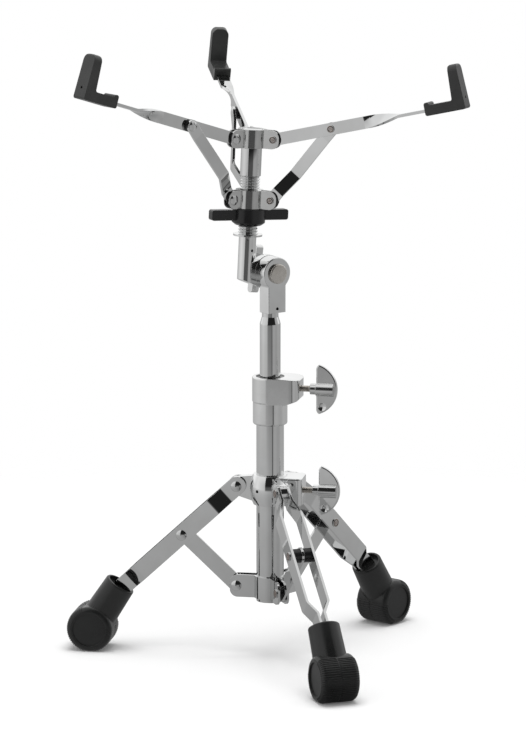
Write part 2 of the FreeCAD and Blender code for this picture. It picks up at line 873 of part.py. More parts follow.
def on_arm(shape, azimuth):
    """Carry a shape from the arm's own frame, pivot at the origin and arm along X, to the basket."""
    shape = shape.copy()
    shape.rotate(ORIGIN, Y, -arm_slope)
    shape.translate(Vector(basket_pivot_r, 0, upper_collar_z))
    return on_post(spun(shape, azimuth))


def arm_section(x, twist):
    """Arm's rectangular section at a place along it, turned about its length."""
    half_w = arm_width / 2.0
    half_t = arm_sheet / 2.0
    corners = [(-half_t, -half_w), (half_t, -half_w), (half_t, half_w), (-half_t, half_w)]
    points = [Vector(x, y, z) for y, z in corners]
    wire = Part.makePolygon(points + points[:1])
    wire.rotate(Vector(x, 0, 0), X, twist)
    return wire


def basket_arm(azimuth):
    """Flat arm on edge at its pivots, twisted a quarter turn before the holder."""
    sections = [arm_section(0.0, 0.0)]
    for step in range(arm_twist_steps + 1):
        share = step / arm_twist_steps
        sections.append(arm_section(arm_twist_start + share * arm_twist_length, -90.0 * share))
    sections.append(arm_section(arm_length, -90.0))
    arm = Part.makeLoft(sections, True, True)
    half_t = arm_sheet / 2.0
    arm = arm.fuse(cross_pin(arm_width, 0.0, 0.0, -half_t, half_t)).removeSplitter()
    tools = [
        cross_pin(basket_rivet_d + 2.0 * run_gap, 0.0, 0.0, -half_t, half_t),
        cross_pin(basket_rivet_d + 2.0 * fit_gap, arm_link, 0.0, -half_t, half_t),
    ]
    return on_arm(arm.cut(tools), azimuth)


def arm_rivet(azimuth):
    """Rivet that joins an arm to its strut."""
    tail_at = -arm_sheet / 2.0
    head_at = arm_sheet / 2.0 + arm_washer_h + arm_sheet + 2.0 * side_gap
    one = rivet(basket_rivet_d, basket_rivet_head_d, basket_rivet_head_h,
                basket_rivet_tail_d, basket_rivet_tail_h, tail_at, head_at)
    return on_arm(along_y(one, arm_link, 0.0), azimuth)


def arm_washer(azimuth):
    low = arm_sheet / 2.0
    one = ring(arm_washer_d, basket_rivet_d + 2.0 * fit_gap, low, low + arm_washer_h)
    return on_arm(along_y(one, arm_link, 0.0), azimuth)


def drum_holder(azimuth):
    """Rubber rest on the arm's end: a seat with a lip and an upright that grips the drum's rim."""
    half = holder_width / 2.0
    back_in = holder_end - holder_back
    lip_end = holder_start + holder_lip_length
    side = side_plate([
        (holder_start, -holder_bottom, holder_edge_r),
        (holder_end, -holder_bottom, holder_edge_r),
        (holder_end - holder_taper, holder_height, holder_edge_r),
        (back_in + holder_taper, holder_height, holder_edge_r),
        (back_in, holder_seat, holder_edge_r),
        (lip_end, holder_seat, 0.0),
        (lip_end, holder_lip, holder_edge_r),
        (holder_start, holder_lip, holder_edge_r),
    ], -half, half)
    front = plate([
        (-half, -holder_bottom, 0.0),
        (half, -holder_bottom, 0.0),
        (half, holder_height, holder_top_r),
        (-half, holder_height, holder_top_r),
    ], holder_start, holder_end)
    front.rotate(ORIGIN, X, 90)
    front.rotate(ORIGIN, Z, 90)
    pocket = box(holder_start, arm_length, -arm_width / 2.0 - fit_gap, arm_width / 2.0 + fit_gap,
                 -arm_sheet / 2.0 - fit_gap, arm_sheet / 2.0 + fit_gap)
    pin = Part.makeCylinder(holder_pin_d / 2.0, holder_pin_depth,
                            Vector(holder_end - holder_pin_depth, 0, holder_pin_z), X)
    return on_arm(side.common(front).cut([pocket, pin]), azimuth)


def basket_strut(azimuth):
    """Strut from the lower collar to the arm, cranked out past the collar and back beside the arm."""
    end_r = arm_width / 2.0
    bend_end = strut_joggle_start + strut_joggle_length
    strip = bent_strip([
        (-end_r, 0.0),
        (strut_joggle_start, 0.0),
        (bend_end, strut_crank),
        (strut_length - strut_rest, strut_offset),
        (strut_length + end_r, strut_offset),
    ], arm_sheet, -end_r, end_r)
    outline = side_plate([
        (-end_r, -end_r, end_r - 0.01),
        (strut_length + end_r, -end_r, end_r - 0.01),
        (strut_length + end_r, end_r, end_r - 0.01),
        (-end_r, end_r, end_r - 0.01),
    ], -arm_sheet, strut_crank + arm_sheet)
    strip = strip.common(outline)
    tools = [
        cross_pin(basket_rivet_d + 2.0 * run_gap, 0.0, 0.0, -arm_sheet, arm_sheet),
        cross_pin(basket_rivet_d + 2.0 * strut_slack, strut_length, 0.0,
                  strut_offset - arm_sheet, strut_offset + arm_sheet),
    ]
    strip = strip.cut(tools)
    strip.rotate(ORIGIN, Y, -strut_slope)
    strip.translate(Vector(basket_pivot_r, 0, lower_collar_z))
    return on_post(spun(strip, azimuth))


# Tripod

def leg_collar():
    """Cast collar that slides on the base tube: barrel body, three lugs and a screw boss."""
    low = upper_pivot_z + collar_rise - collar_height
    high = upper_pivot_z + collar_rise
    mid = (low + high) / 2.0
    end = collar_end_d / 2.0
    points = [Vector(0, 0, low), Vector(end, 0, low), Vector(end, 0, high), Vector(0, 0, high)]
    belly = Part.Arc(points[1], Vector(collar_belly_d / 2.0, 0, mid), points[2]).toShape()
    edges = [
        Part.makeLine(points[0], points[1]),
        belly,
        Part.makeLine(points[2], points[3]),
        Part.makeLine(points[3], points[0]),
    ]
    body = Part.Face(Part.Wire(edges)).revolve(ORIGIN, Z, 360)
    half = collar_lug / 2.0
    root = tube_d / 2.0
    lug = side_plate([
        (root, low + collar_top_edge_r, 0.0),
        (leg_pivot_r, upper_pivot_z - collar_lug_end_r, 0.0),
        (leg_pivot_r, upper_pivot_z + collar_lug_end_r, 0.0),
        (root, high - collar_top_edge_r, 0.0),
    ], -half, half)
    lug = lug.fuse(cross_pin(2.0 * collar_lug_end_r, leg_pivot_r, upper_pivot_z, -half, half))
    hole = cross_pin(leg_rivet_d + 2.0 * fit_gap, leg_pivot_r, upper_pivot_z, -half, half)
    lug = lug.removeSplitter().cut(hole)
    boss_half = collar_boss_width / 2.0
    boss_low = mid - collar_boss_height / 2.0
    boss_high = mid + collar_boss_height / 2.0
    boss = plate([
        (0.0, -boss_half, 0.0),
        (collar_boss_reach, -boss_half, collar_boss_edge_r),
        (collar_boss_reach, boss_half, collar_boss_edge_r),
        (0.0, boss_half, 0.0),
    ], boss_low, boss_high)
    boss = boss.makeFillet(collar_top_edge_r, edges_at(boss, boss_low) + edges_at(boss, boss_high))
    casting = body.fuse([spun(lug, azimuth) for azimuth in leg_azimuths])
    casting = casting.fuse(spun(boss, collar_boss_azimuth)).removeSplitter()
    screw_hole = Part.makeCylinder(screw_d / 2.0 + run_gap, collar_boss_reach, Vector(0, 0, mid), X)
    peg_hole = Part.makeCylinder(collar_peg_hole_d / 2.0, collar_belly_d, Vector(0, 0, mid), X)
    tools = [
        Part.makeCylinder(tube_d / 2.0 + run_gap, collar_height, Vector(0, 0, low)),
        spun(screw_hole, collar_boss_azimuth),
        spun(peg_hole, leg_azimuth + 60.0),
    ]
    return casting.cut(tools)


def collar_rivets():
    return lug_rivets(leg_azimuths, leg_pivot_r, upper_pivot_z, collar_half_gap + strip_sheet + side_gap,
                      leg_rivet_d, leg_rivet_head_d, leg_rivet_head_h,
                      leg_rivet_tail_d, leg_rivet_tail_h)


def on_leg(shape, azimuth):
    """Carry a shape from the leg's own frame, pivot at the origin and leg along X, to its place."""
    shape = shape.copy()
    shape.rotate(ORIGIN, Y, leg_angle)
    shape.translate(Vector(leg_pivot_r, 0, upper_pivot_z))
    return spun(shape, azimuth)


def leg_strip():
    """One side of a leg: close at the collar, spread round the brace, close again at the foot."""
    half = strip_sheet / 2.0
    close = collar_half_gap + half
    spread = strip_mid_half_gap + half
    foot = strip_foot_half_gap + half
    lower_start = mouth_run - lower_joggle_lead
    strip = bent_strip([
        (-strip_end_reach, close),
        (upper_joggle_start, close),
        (upper_joggle_start + upper_joggle_length, spread),
        (lower_start, spread),
        (lower_start + lower_joggle_length, foot),
        (strip_end, foot),
    ], strip_sheet, -strip_width / 2.0, strip_width / 2.0)
    outline = side_plate([
        (-strip_end_reach, -strip_width / 2.0, strip_end_r),
        (strip_end, -strip_width / 2.0, strip_sheet),
        (strip_end, strip_width / 2.0, strip_sheet),
        (-strip_end_reach, strip_width / 2.0, strip_end_r),
    ], 0.0, spread + strip_sheet)
    strip = strip.common(outline)
    tools = [
        cross_pin(leg_rivet_d + 2.0 * run_gap, 0.0, 0.0, 0.0, spread + strip_sheet),
        cross_pin(leg_rivet_d + 2.0 * fit_gap, link_length, 0.0, 0.0, spread + strip_sheet),
    ]
    return strip.cut(tools)


def leg_strips(azimuth):
    near = leg_strip()
    far = near.copy()
    far.rotate(ORIGIN, X, 180)
    return on_leg(group([near, far]), azimuth)


def leg_rivet(azimuth):
    """Rivet through both strips of a leg, its spacers and its brace."""
    grip = strip_mid_half_gap + strip_sheet
    one = rivet(leg_rivet_d, leg_rivet_head_d, leg_rivet_head_h,
                leg_rivet_tail_d, leg_rivet_tail_h, -grip, grip)
    return on_leg(along_y(one, link_length, 0.0), azimuth)


def leg_spacers(azimuth):
    low = brace_sheet / 2.0 + side_gap
    inner_d = leg_rivet_d + 2.0 * fit_gap
    pair = [
        along_y(ring(leg_spacer_d, inner_d, low, strip_mid_half_gap), link_length, 0.0),
        along_y(ring(leg_spacer_d, inner_d, -strip_mid_half_gap, -low), link_length, 0.0),
    ]
    return on_leg(group(pair), azimuth)


def rubber_foot(azimuth):
    """Rubber foot: a wheel-shaped tread on a sleeve that takes the ends of the leg's strips."""
    half = wheel_width / 2.0
    face = wheel_face_d / 2.0
    wheel = turned([
        (0.0, -half + wheel_face_depth, 0.0),
        (face, -half + wheel_face_depth, 0.0),
        (face, -half, 0.0),
        (wheel_d / 2.0, -half, wheel_edge_r),
        (wheel_d / 2.0, half, wheel_edge_r),
        (face, half, 0.0),
        (face, half - wheel_face_depth, 0.0),
        (0.0, half - wheel_face_depth, 0.0),
    ])
    wheel = along_y(wheel, foot_r, wheel_z)
    wheel = wheel.cut(box(foot_r - wheel_d, foot_r + wheel_d, -wheel_d, wheel_d, -wheel_d, 0.0))
    sleeve = turned([
        (0.0, 0.0, 0.0),
        (foot_sleeve_root_d / 2.0, 0.0, 0.0),
        (foot_sleeve_top_d / 2.0, foot_sleeve_length, foot_sleeve_rim_r),
        (0.0, foot_sleeve_length, 0.0),
    ])
    mouth_r = foot_sleeve_top_d / 2.0 - foot_mouth_wall
    mouth_low = foot_sleeve_length - foot_mouth_depth
    sleeve = sleeve.cut(Part.makeCylinder(mouth_r, foot_mouth_depth, Vector(0, 0, mouth_low)))
    sleeve.rotate(ORIGIN, Y, foot_sleeve_angle - 90.0)
    sleeve.translate(Vector(foot_r, 0, wheel_z))
    foot = wheel.fuse(sleeve).removeSplitter()
    across = strip_foot_half_gap + strip_sheet + fit_gap
    tall = strip_width / 2.0 + fit_gap
    pocket = box(mouth_run - strip_insert, strip_end + fit_gap, -across, across, -tall, tall)
    pocket = on_leg(pocket, 0.0)
    return spun(foot.cut(pocket), azimuth)


def leg_brace(azimuth):
    """Brace from the lower bracket up to the middle of a leg."""
    end_r = brace_width / 2.0
    half = brace_sheet / 2.0
    brace = side_plate([
        (-end_r, -end_r, end_r - 0.01),
        (link_length + end_r, -end_r, end_r - 0.01),
        (link_length + end_r, end_r, end_r - 0.01),
        (-end_r, end_r, end_r - 0.01),
    ], -half, half)
    tools = [
        cross_pin(leg_rivet_d + 2.0 * run_gap, 0.0, 0.0, -half, half),
        cross_pin(leg_rivet_d + 2.0 * run_gap, link_length, 0.0, -half, half),
    ]
    brace = brace.cut(tools)
    brace.rotate(ORIGIN, Y, -leg_angle)
    brace.translate(Vector(leg_pivot_r, 0, lower_pivot_z))
    return spun(brace, azimuth)


def build():
    """Every node of the stand by name."""
    collar_mid = upper_pivot_z + collar_rise - collar_height / 2.0
    height_tip = tube_bore / 2.0 + side_gap
    leg_tip = tube_d / 2.0 + side_gap
    leg_knob_start = collar_boss_reach + screw_stand
    height_knob_start = clamp_boss_reach + screw_stand
    nodes = {
        "base_tube": base_tube(),
        "lower_bracket": lower_bracket(),
        "lower_bracket_rivets": lower_bracket_rivets(),
        "lower_bracket_washers": lower_bracket_washers(),
        "height_clamp": height_clamp(),
        "clamp_bush": clamp_bush(),
        "height_wing": wing_knob(height_knob_start, clamp_screw_z, clamp_azimuth),
        "height_screw": wing_screw(height_tip, height_knob_start, clamp_screw_z, clamp_azimuth),
        "leg_collar": leg_collar(),
        "collar_rivets": collar_rivets(),
        "leg_wing": wing_knob(leg_knob_start, collar_mid, collar_boss_azimuth),
        "leg_screw": wing_screw(leg_tip, leg_knob_start, collar_mid, collar_boss_azimuth),
        "rod_guide": rod_guide(),
        "upper_rod": upper_rod(),
        "tilter_lower": tilter_lower(),
        "tilter_bolt": tilter_bolt(),
        "tilter_nut": tilter_nut(),
        "tilter_upper": tilter_upper(),
        "post_washer": post_washer(),
        "basket_post": basket_post(),
        "upper_collar_hub": basket_hub(post_d + 2.0 * fit_gap, upper_collar_z),
        "upper_collar_plates": basket_plates(upper_collar_z),
        "upper_collar_rivets": basket_rivets(upper_collar_z),
        "upper_collar_washers": basket_washers(upper_collar_z),
        "lower_collar_hub": basket_hub(thread_d + 2.0 * run_gap, lower_collar_z),
        "lower_collar_plates": basket_plates(lower_collar_z),
        "lower_collar_rivets": basket_rivets(lower_collar_z),
        "lower_collar_washers": basket_washers(lower_collar_z),
        "basket_nut": basket_nut(),
    }
    for number, azimuth in enumerate(leg_azimuths, 1):
        nodes[f"leg_{number}_strips"] = leg_strips(azimuth)
        nodes[f"leg_{number}_rivet"] = leg_rivet(azimuth)
        nodes[f"leg_{number}_spacers"] = leg_spacers(azimuth)
        nodes[f"leg_{number}_foot"] = rubber_foot(azimuth)
        nodes[f"leg_{number}_brace"] = leg_brace(azimuth)
    for number, azimuth in enumerate(basket_azimuths, 1):
        nodes[f"arm_{number}"] = basket_arm(azimuth)
        nodes[f"arm_{number}_rivet"] = arm_rivet(azimuth)
        nodes[f"arm_{number}_washer"] = arm_washer(azimuth)
        nodes[f"arm_{number}_holder"] = drum_holder(azimuth)
        nodes[f"arm_{number}_strut"] = basket_strut(azimuth)
    return nodes


os.makedirs("parts", exist_ok=True)
for name, shape in build().items():
    print(name, len(shape.Solids), round(shape.Volume, 1), shape.isValid())
    shape.exportStep(f"parts/{name}.step")
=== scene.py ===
"""Looks of the snare drum stand: finishes, threads, tread ribs, rivet tails, pins and the studio."""

import json
import logging
import math
from dataclasses import dataclass, replace
from enum import Enum
from typing import ClassVar

import bmesh
import bpy
from mathutils import Matrix, Vector


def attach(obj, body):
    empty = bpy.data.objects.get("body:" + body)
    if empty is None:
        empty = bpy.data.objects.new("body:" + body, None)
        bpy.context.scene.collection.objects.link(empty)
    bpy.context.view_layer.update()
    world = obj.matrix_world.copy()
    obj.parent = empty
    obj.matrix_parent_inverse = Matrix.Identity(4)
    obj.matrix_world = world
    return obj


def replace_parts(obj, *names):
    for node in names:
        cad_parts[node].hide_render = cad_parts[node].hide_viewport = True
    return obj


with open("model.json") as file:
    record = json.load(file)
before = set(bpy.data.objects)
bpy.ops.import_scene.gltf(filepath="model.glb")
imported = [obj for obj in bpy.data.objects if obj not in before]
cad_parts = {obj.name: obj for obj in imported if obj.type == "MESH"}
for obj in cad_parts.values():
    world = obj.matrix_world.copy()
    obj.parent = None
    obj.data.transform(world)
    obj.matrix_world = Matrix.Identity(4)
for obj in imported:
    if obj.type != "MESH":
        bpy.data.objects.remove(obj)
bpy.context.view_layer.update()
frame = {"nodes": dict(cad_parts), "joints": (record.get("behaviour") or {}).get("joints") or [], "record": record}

LOG = logging.getLogger("stand")
MM = 0.001
FULL_TURN = 360.0
UP = Vector((0.0, 0.0, 1.0))
NUMBERS = (1, 2, 3)
FACING = "facing"

Colour = tuple[float, float, float]
Place = tuple[float, float, float]
Span = tuple[float, float]
Levels = tuple[Span, ...]
Profile = list[tuple[float, float]]
Ends = list[tuple[Vector, Vector]]
Socket = bpy.types.NodeSocket
Mesh = bpy.types.Mesh
Piece = bpy.types.Object


class Slot(Enum):
    """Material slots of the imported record."""

    CHROME = "chrome"
    CAST = "cast_chrome"
    STEEL = "plain_steel"
    RUBBER = "black_rubber"
    NYLON = "black_nylon"


class Crease(Enum):
    """Angle in degrees past which the edges of a piece stay sharp."""

    EDGED = 40.0
    TURNED = 50.0
    THREADED = 60.0
    RIBBED = 75.0
    ROUND = 180.0


def grey(level: float) -> tuple[float, float, float, float]:
    """Opaque grey of the given brightness."""
    return (level, level, level, 1.0)


class Wiring:
    """Adds nodes to a tree and joins their sockets.

    Attributes:
        tree: the tree that is wired.
    """

    def __init__(self, tree: bpy.types.NodeTree) -> None:
        """Start on a tree."""
        self.tree = tree

    def feed(self, socket: Socket, value: object) -> None:
        """Link a socket to another one, or set its value.

        Args:
            socket: the input that is fed.
            value: an output socket or a plain value.
        """
        if isinstance(value, Socket):
            self.tree.links.new(value, socket)
        else:
            socket.default_value = value

    def add(self, kind: str, inputs: dict | None = None, **settings: object) -> bpy.types.Node:
        """Add one node.

        Args:
            kind: the node's type name.
            inputs: values or sockets by input name or number.
            **settings: node attributes.

        Returns:
            The new node.
        """
        node = self.tree.nodes.new(kind)
        for name, value in settings.items():
            setattr(node, name, value)
        for key, value in (inputs or {}).items():
            self.feed(node.inputs[key], value)
        return node

    def out(self, kind: str, inputs: dict | None = None, **settings: object) -> Socket:
        """First output of a node that is added in the same way."""
        return self.add(kind, inputs, **settings).outputs[0]

    def calc(self, operation: str, first: object, second: object = 0.0) -> Socket:
        """Add one math node.

        Args:
            operation: the math operation.
            first: its first operand.
            second: its second operand, if it takes one.

        Returns:
            The result's socket.
        """
        return self.out("ShaderNodeMath", {0: first, 1: second}, operation=operation)

    def span(self, value: object, over: Span, to: Span = (0.0, 1.0)) -> Socket:
        """Map a value from one range to another, held at its ends.

        Args:
            value: the socket that is mapped.
            over: start and end of its range.
            to: results at the start and at the end.

        Returns:
            The mapped value's socket.
        """
        ends = dict(enumerate((value, *over, *to)))
        return self.out("ShaderNodeMapRange", ends)

    def mix(self, share: object, first: object, second: object) -> Socket:
        """Mix two colours.

        Args:
            share: share of the second one.
            first: a colour or its socket.
            second: a colour or its socket.

        Returns:
            The mixed colour's socket.
        """
        colour_a, colour_b, colour_result = 6, 7, 2
        ends = {0: share, colour_a: first, colour_b: second}
        return self.add("ShaderNodeMix", ends, data_type="RGBA").outputs[colour_result]

    def blend(self, share: Socket, first: Socket, second: Socket) -> Socket:
        """Blend two shaders.

        Args:
            share: share of the second one.
            first: a shader's socket.
            second: a shader's socket.

        Returns:
            The blended shader's socket.
        """
        return self.out("ShaderNodeMixShader", {0: share, 1: first, 2: second})

    def noise(self, place: Socket, scale: float, detail: float, roughness: float = 0.5) -> Socket:
        """Add smooth noise.

        Args:
            place: coordinates.
            scale: its waves per unit of those.
            detail: its finer layers.
            roughness: strength of the finer layers.

        Returns:
            The noise's socket, from 0 to 1.
        """
        inputs = {"Vector": place, "Scale": scale, "Detail": detail, "Roughness": roughness}
        return self.out("ShaderNodeTexNoise", inputs)

    def split(self, vector: Socket) -> tuple[Socket, ...]:
        """Sockets of a vector's X, Y and Z."""
        return tuple(self.add("ShaderNodeSeparateXYZ", {0: vector}).outputs)

    def coat(self, inputs: dict) -> None:
        """End a material's tree in a surface.

        Args:
            inputs: values or sockets by the surface's input names.
        """
        self.add("ShaderNodeOutputMaterial", {"Surface": self.out("ShaderNodeBsdfPrincipled", inputs)})


# Finishes


@dataclass(frozen=True)
class Finish:
    """Procedural finish on object coordinates.

    Attributes:
        name: material name.
        slot: record slot it stands for.
        light: colour of the lighter patches.
        dark: colour of the darker patches.
        patch_scale: patches per metre.
        rough: lowest and highest roughness.
        grain_scale: grains per metre.
        grain_height: height of the grain in metres.
        edge: radius in metres that sharp edges are shaded to.
        made: materials made so far, by name.
        patch_detail: finer layers of the patches.
        patch_roughness: strength of those layers.
        patch_range: noise values between which a patch goes from dark to light.
        edge_samples: samples of the shaded edges.
    """

    name: str
    slot: Slot
    light: Colour
    dark: Colour
    patch_scale: float
    rough: Span
    grain_scale: float
    grain_height: float
    edge: float
    made: ClassVar[dict[str, bpy.types.Material]] = {}
    patch_detail: ClassVar[float] = 4.0
    patch_roughness: ClassVar[float] = 0.6
    patch_range: ClassVar[Span] = (0.36, 0.64)
    edge_samples: ClassVar[int] = 6

    def material(self) -> bpy.types.Material:
        """Make the material, or find it if it was made before.

        Returns:
            The material.
        """
        if self.name not in self.made:
            fresh = bpy.data.materials.new(self.name)
            fresh.use_nodes = True
            fresh.node_tree.nodes.clear()
            self.wire(Wiring(fresh.node_tree))
            self.made[self.name] = fresh
        return self.made[self.name]

    def wire(self, w: Wiring) -> None:
        """Build the node tree; each kind of finish has its own.

        Args:
            w: the material's wiring.
        """
        raise NotImplementedError

    def patches(self, w: Wiring, place: Socket) -> Socket:
        """Broad uneven patches of the surface.

        Args:
            w: the material's wiring.
            place: object coordinates.

        Returns:
            A value from 0 to 1.
        """
        noise = w.noise(place, self.patch_scale, self.patch_detail, self.patch_roughness)
        return w.span(noise, self.patch_range)

    def colour(self, w: Wiring, share: Socket) -> Socket:
        """Mix of the two colours.

        Args:
            w: the material's wiring.
            share: share of the lighter one.

        Returns:
            The colour's socket.
        """
        return w.mix(share, (*self.dark, 1.0), (*self.light, 1.0))

    def relief(self, w: Wiring, grain: Socket) -> Socket:
        """Normal with softened edges and the surface's grain.

        Args:
            w: the material's wiring.
            grain: grain height from 0 to 1.

        Returns:
            The normal's socket.
        """
        edge = w.out("ShaderNodeBevel", {"Radius": self.edge}, samples=self.edge_samples)
        return w.out("ShaderNodeBump", {"Distance": self.grain_height, "Height": grain, "Normal": edge})


@dataclass(frozen=True)
class PlatedFinish(Finish):
    """Plated or bare metal with faint smears and hairlines; its darker patches are the duller ones.

    Attributes:
        hairline: roughness that the hairlines add at most.
        grain_detail: finer layers of the grain.
        line_scale: hairlines per metre along X, Y and Z.
        line_detail: finer layers of the hairlines.
    """

    hairline: float
    grain_detail: ClassVar[float] = 2.0
    line_scale: ClassVar[Place] = (60.0, 60.0, 4200.0)
    line_detail: ClassVar[float] = 3.0

    def wire(self, w: Wiring) -> None:
        """Build the metal's node tree.

        Args:
            w: the material's wiring.
        """
        place = w.add("ShaderNodeTexCoord").outputs["Object"]
        patch = self.patches(w, place)
        grain = w.noise(place, self.grain_scale, self.grain_detail)
        lines = w.out("ShaderNodeMapping", {"Vector": place, "Scale": self.line_scale})
        hair = w.noise(lines, 1.0, self.line_detail)
        polish, dull = self.rough
        smeared = w.span(patch, (0.0, 1.0), (dull, polish))
        w.coat({
            "Base Color": self.colour(w, patch),
            "Metallic": 1.0,
            "Roughness": w.calc("ADD", smeared, w.calc("MULTIPLY", hair, self.hairline)),
            "Normal": self.relief(w, grain),
        })


@dataclass(frozen=True)
class MouldedFinish(Finish):
    """Moulded rubber or nylon with a pebbled skin and a little dust on its upward faces.

    Attributes:
        gloss: strength of the shine.
        dust: colour of the dust.
        dust_share: most dust on an upward face, from 0 to 1.
        speck_share: scale of the specks as a share of the grain's.
        speck_detail: finer layers of the specks.
        upward: heights of a face's unit normal between which dust begins to lie.
        settled: speck values between which dust has settled.
    """

    gloss: float = 0.4
    dust: Colour = (0.06, 0.06, 0.058)
    dust_share: float = 0.25
    speck_share: ClassVar[float] = 0.5
    speck_detail: ClassVar[float] = 3.0
    upward: ClassVar[Span] = (0.55, 1.0)
    settled: ClassVar[Span] = (0.4, 0.7)

    def wire(self, w: Wiring) -> None:
        """Build the moulding's node tree.

        Args:
            w: the material's wiring.
        """
        place = w.add("ShaderNodeTexCoord").outputs["Object"]
        patch = self.patches(w, place)
        pebble = w.add("ShaderNodeTexVoronoi", {"Vector": place, "Scale": self.grain_scale})
        speck = w.noise(place, self.grain_scale * self.speck_share, self.speck_detail)
        _, _, lift = w.split(w.add("ShaderNodeNewGeometry").outputs["Normal"])
        upward = w.span(lift, self.upward, (0.0, self.dust_share))
        dusty = w.calc("MULTIPLY", upward, w.span(speck, self.settled))
        w.coat({
            "Base Color": w.mix(dusty, self.colour(w, patch), (*self.dust, 1.0)),
            "Roughness": w.span(patch, (0.0, 1.0), self.rough),
            "Specular IOR Level": self.gloss,
            "Normal": self.relief(w, w.calc("ADD", pebble.outputs["Distance"], speck)),
        })


CHROME = PlatedFinish(
    name="polished_chrome", slot=Slot.CHROME, light=(0.66, 0.665, 0.665), dark=(0.61, 0.613, 0.61),
    patch_scale=26.0, rough=(0.02, 0.05), grain_scale=420.0, grain_height=0.000001, edge=0.00035,
    hairline=0.012)
CAST_CHROME = PlatedFinish(
    name="polished_casting", slot=Slot.CAST, light=(0.75, 0.755, 0.755), dark=(0.68, 0.683, 0.68),
    patch_scale=34.0, rough=(0.035, 0.08), grain_scale=260.0, grain_height=0.000004, edge=0.0006,
    hairline=0.015)
PRESSED_CHROME = replace(
    CHROME, name="pressed_chrome", light=(0.57, 0.572, 0.568), dark=(0.51, 0.512, 0.508),
    patch_scale=40.0, rough=(0.08, 0.14), grain_height=0.000002, edge=0.0004, hairline=0.02)
STEEL = PlatedFinish(
    name="turned_steel", slot=Slot.STEEL, light=(0.66, 0.635, 0.6), dark=(0.52, 0.49, 0.45),
    patch_scale=60.0, rough=(0.16, 0.3), grain_scale=900.0, grain_height=0.000004, edge=0.0003,
    hairline=0.1)
ROLLED_STEEL = PlatedFinish(
    name="rolled_rivet_steel", slot=Slot.STEEL, light=(0.24, 0.19, 0.165), dark=(0.12, 0.09, 0.078),
    patch_scale=120.0, rough=(0.25, 0.42), grain_scale=1200.0, grain_height=0.000008, edge=0.0002,
    hairline=0.1)
# Light plugs in the rivets' hollows: painted highlight of each hollow's lit bottom, not the steel's own colour
HOLLOW_PAINTED_LIGHT = replace(
    ROLLED_STEEL, name="rivet_hollow_steel", light=(0.46, 0.41, 0.38), dark=(0.3, 0.26, 0.24),
    patch_scale=300.0, rough=(0.3, 0.5))
BLACK_STEEL = replace(
    HOLLOW_PAINTED_LIGHT, name="blacked_steel", light=(0.03, 0.03, 0.03), dark=(0.015, 0.015, 0.015),
    rough=(0.35, 0.55))
RUBBER = MouldedFinish(
    name="foot_rubber", slot=Slot.RUBBER, light=(0.0125, 0.0129, 0.0128), dark=(0.008, 0.0083, 0.0082),
    patch_scale=40.0, rough=(0.27, 0.38), grain_scale=1500.0, grain_height=0.000018, edge=0.0005)
# Lighter copy of the feet's rubber for the basket's rests: painted light standing in for their lit outer faces
LIT_HOLDER_RUBBER = replace(
    RUBBER, name="holder_rubber", light=(0.03, 0.0306, 0.03), dark=(0.02, 0.0204, 0.02), rough=(0.3, 0.42))
NYLON = MouldedFinish(
    name="moulded_nylon", slot=Slot.NYLON, light=(0.0105, 0.0105, 0.011), dark=(0.007, 0.007, 0.0074),
    patch_scale=55.0, rough=(0.2, 0.31), grain_scale=2200.0, grain_height=0.00001, edge=0.0004)

# Finish of each slot, and of the nodes whose names end in a word below
FINISHES = {finish.slot: finish for finish in (CHROME, CAST_CHROME, STEEL, RUBBER, NYLON)}
SPECIAL = {"collar_hub": PRESSED_CHROME, "collar_plates": PRESSED_CHROME, "holder": LIT_HOLDER_RUBBER}


# Shapes that repeat, made with geometry nodes


class RepeatTree:
    """Geometry node tree with named inputs, realised into a plain mesh.

    Attributes:
        name: the tree's name.
        floats: names of its inputs that are lengths, angles or signs.
        counts: names of its inputs that are whole numbers.
        tree: the tree.
        sockets: its inputs by name, as the tree's nodes read them.
    """

    name = "repeat"
    floats: tuple[str, ...] = ()
    counts: tuple[str, ...] = ()

    def __init__(self) -> None:
        """Make the tree with its inputs, its shape and its ending."""
        self.tree = bpy.data.node_groups.new(self.name, "GeometryNodeTree")
        face = self.tree.interface
        face.new_socket("Geometry", in_out="OUTPUT", socket_type="NodeSocketGeometry")
        face.new_socket("Geometry", in_out="INPUT", socket_type="NodeSocketGeometry")
        for label in self.floats:
            face.new_socket(label, in_out="INPUT", socket_type="NodeSocketFloat")
        for label in self.counts:
            face.new_socket(label, in_out="INPUT", socket_type="NodeSocketInt")
        face.new_socket("Finish", in_out="INPUT", socket_type="NodeSocketMaterial")
        w = Wiring(self.tree)
        given = w.add("NodeGroupInput")
        self.sockets = {socket.name: socket for socket in given.outputs if socket.name}
        smooth = w.out("GeometryNodeSetShadeSmooth", {"Geometry": self.wire(w)})
        real = w.out("GeometryNodeRealizeInstances", {"Geometry": smooth})
        coat = w.out("GeometryNodeSetMaterial", {"Geometry": real, "Material": self.sockets["Finish"]})
        w.add("NodeGroupOutput", {"Geometry": coat})

    def wire(self, w: Wiring) -> Socket:
        """Build the repeated shape; each kind of tree has its own.

        Args:
            w: the tree's wiring.

        Returns:
            The geometry's socket.
        """
        raise NotImplementedError

    def realise(self, seed: Mesh, finish: Finish, **values: float) -> Mesh:
        """Run the tree on a mesh.

        Args:
            seed: mesh the tree starts from.
            finish: finish of the result.
            **values: inputs by name, in small letters with underscores.

        Returns:
            A plain mesh.
        """
        holder = bpy.data.objects.new(self.name, seed)
        bpy.context.scene.collection.objects.link(holder)
        modifier = holder.modifiers.new(self.name, "NODES")
        modifier.node_group = self.tree
        for item in self.tree.interface.items_tree:
            if item.in_out != "INPUT" or item.name == "Geometry":
                continue
            key = item.name.lower().replace(" ", "_")
            modifier[item.identifier] = finish.material() if item.name == "Finish" else values[key]
        graph = bpy.context.evaluated_depsgraph_get()
        mesh = bpy.data.meshes.new_from_object(holder.evaluated_get(graph), depsgraph=graph)
        bpy.data.objects.remove(holder)
        return mesh


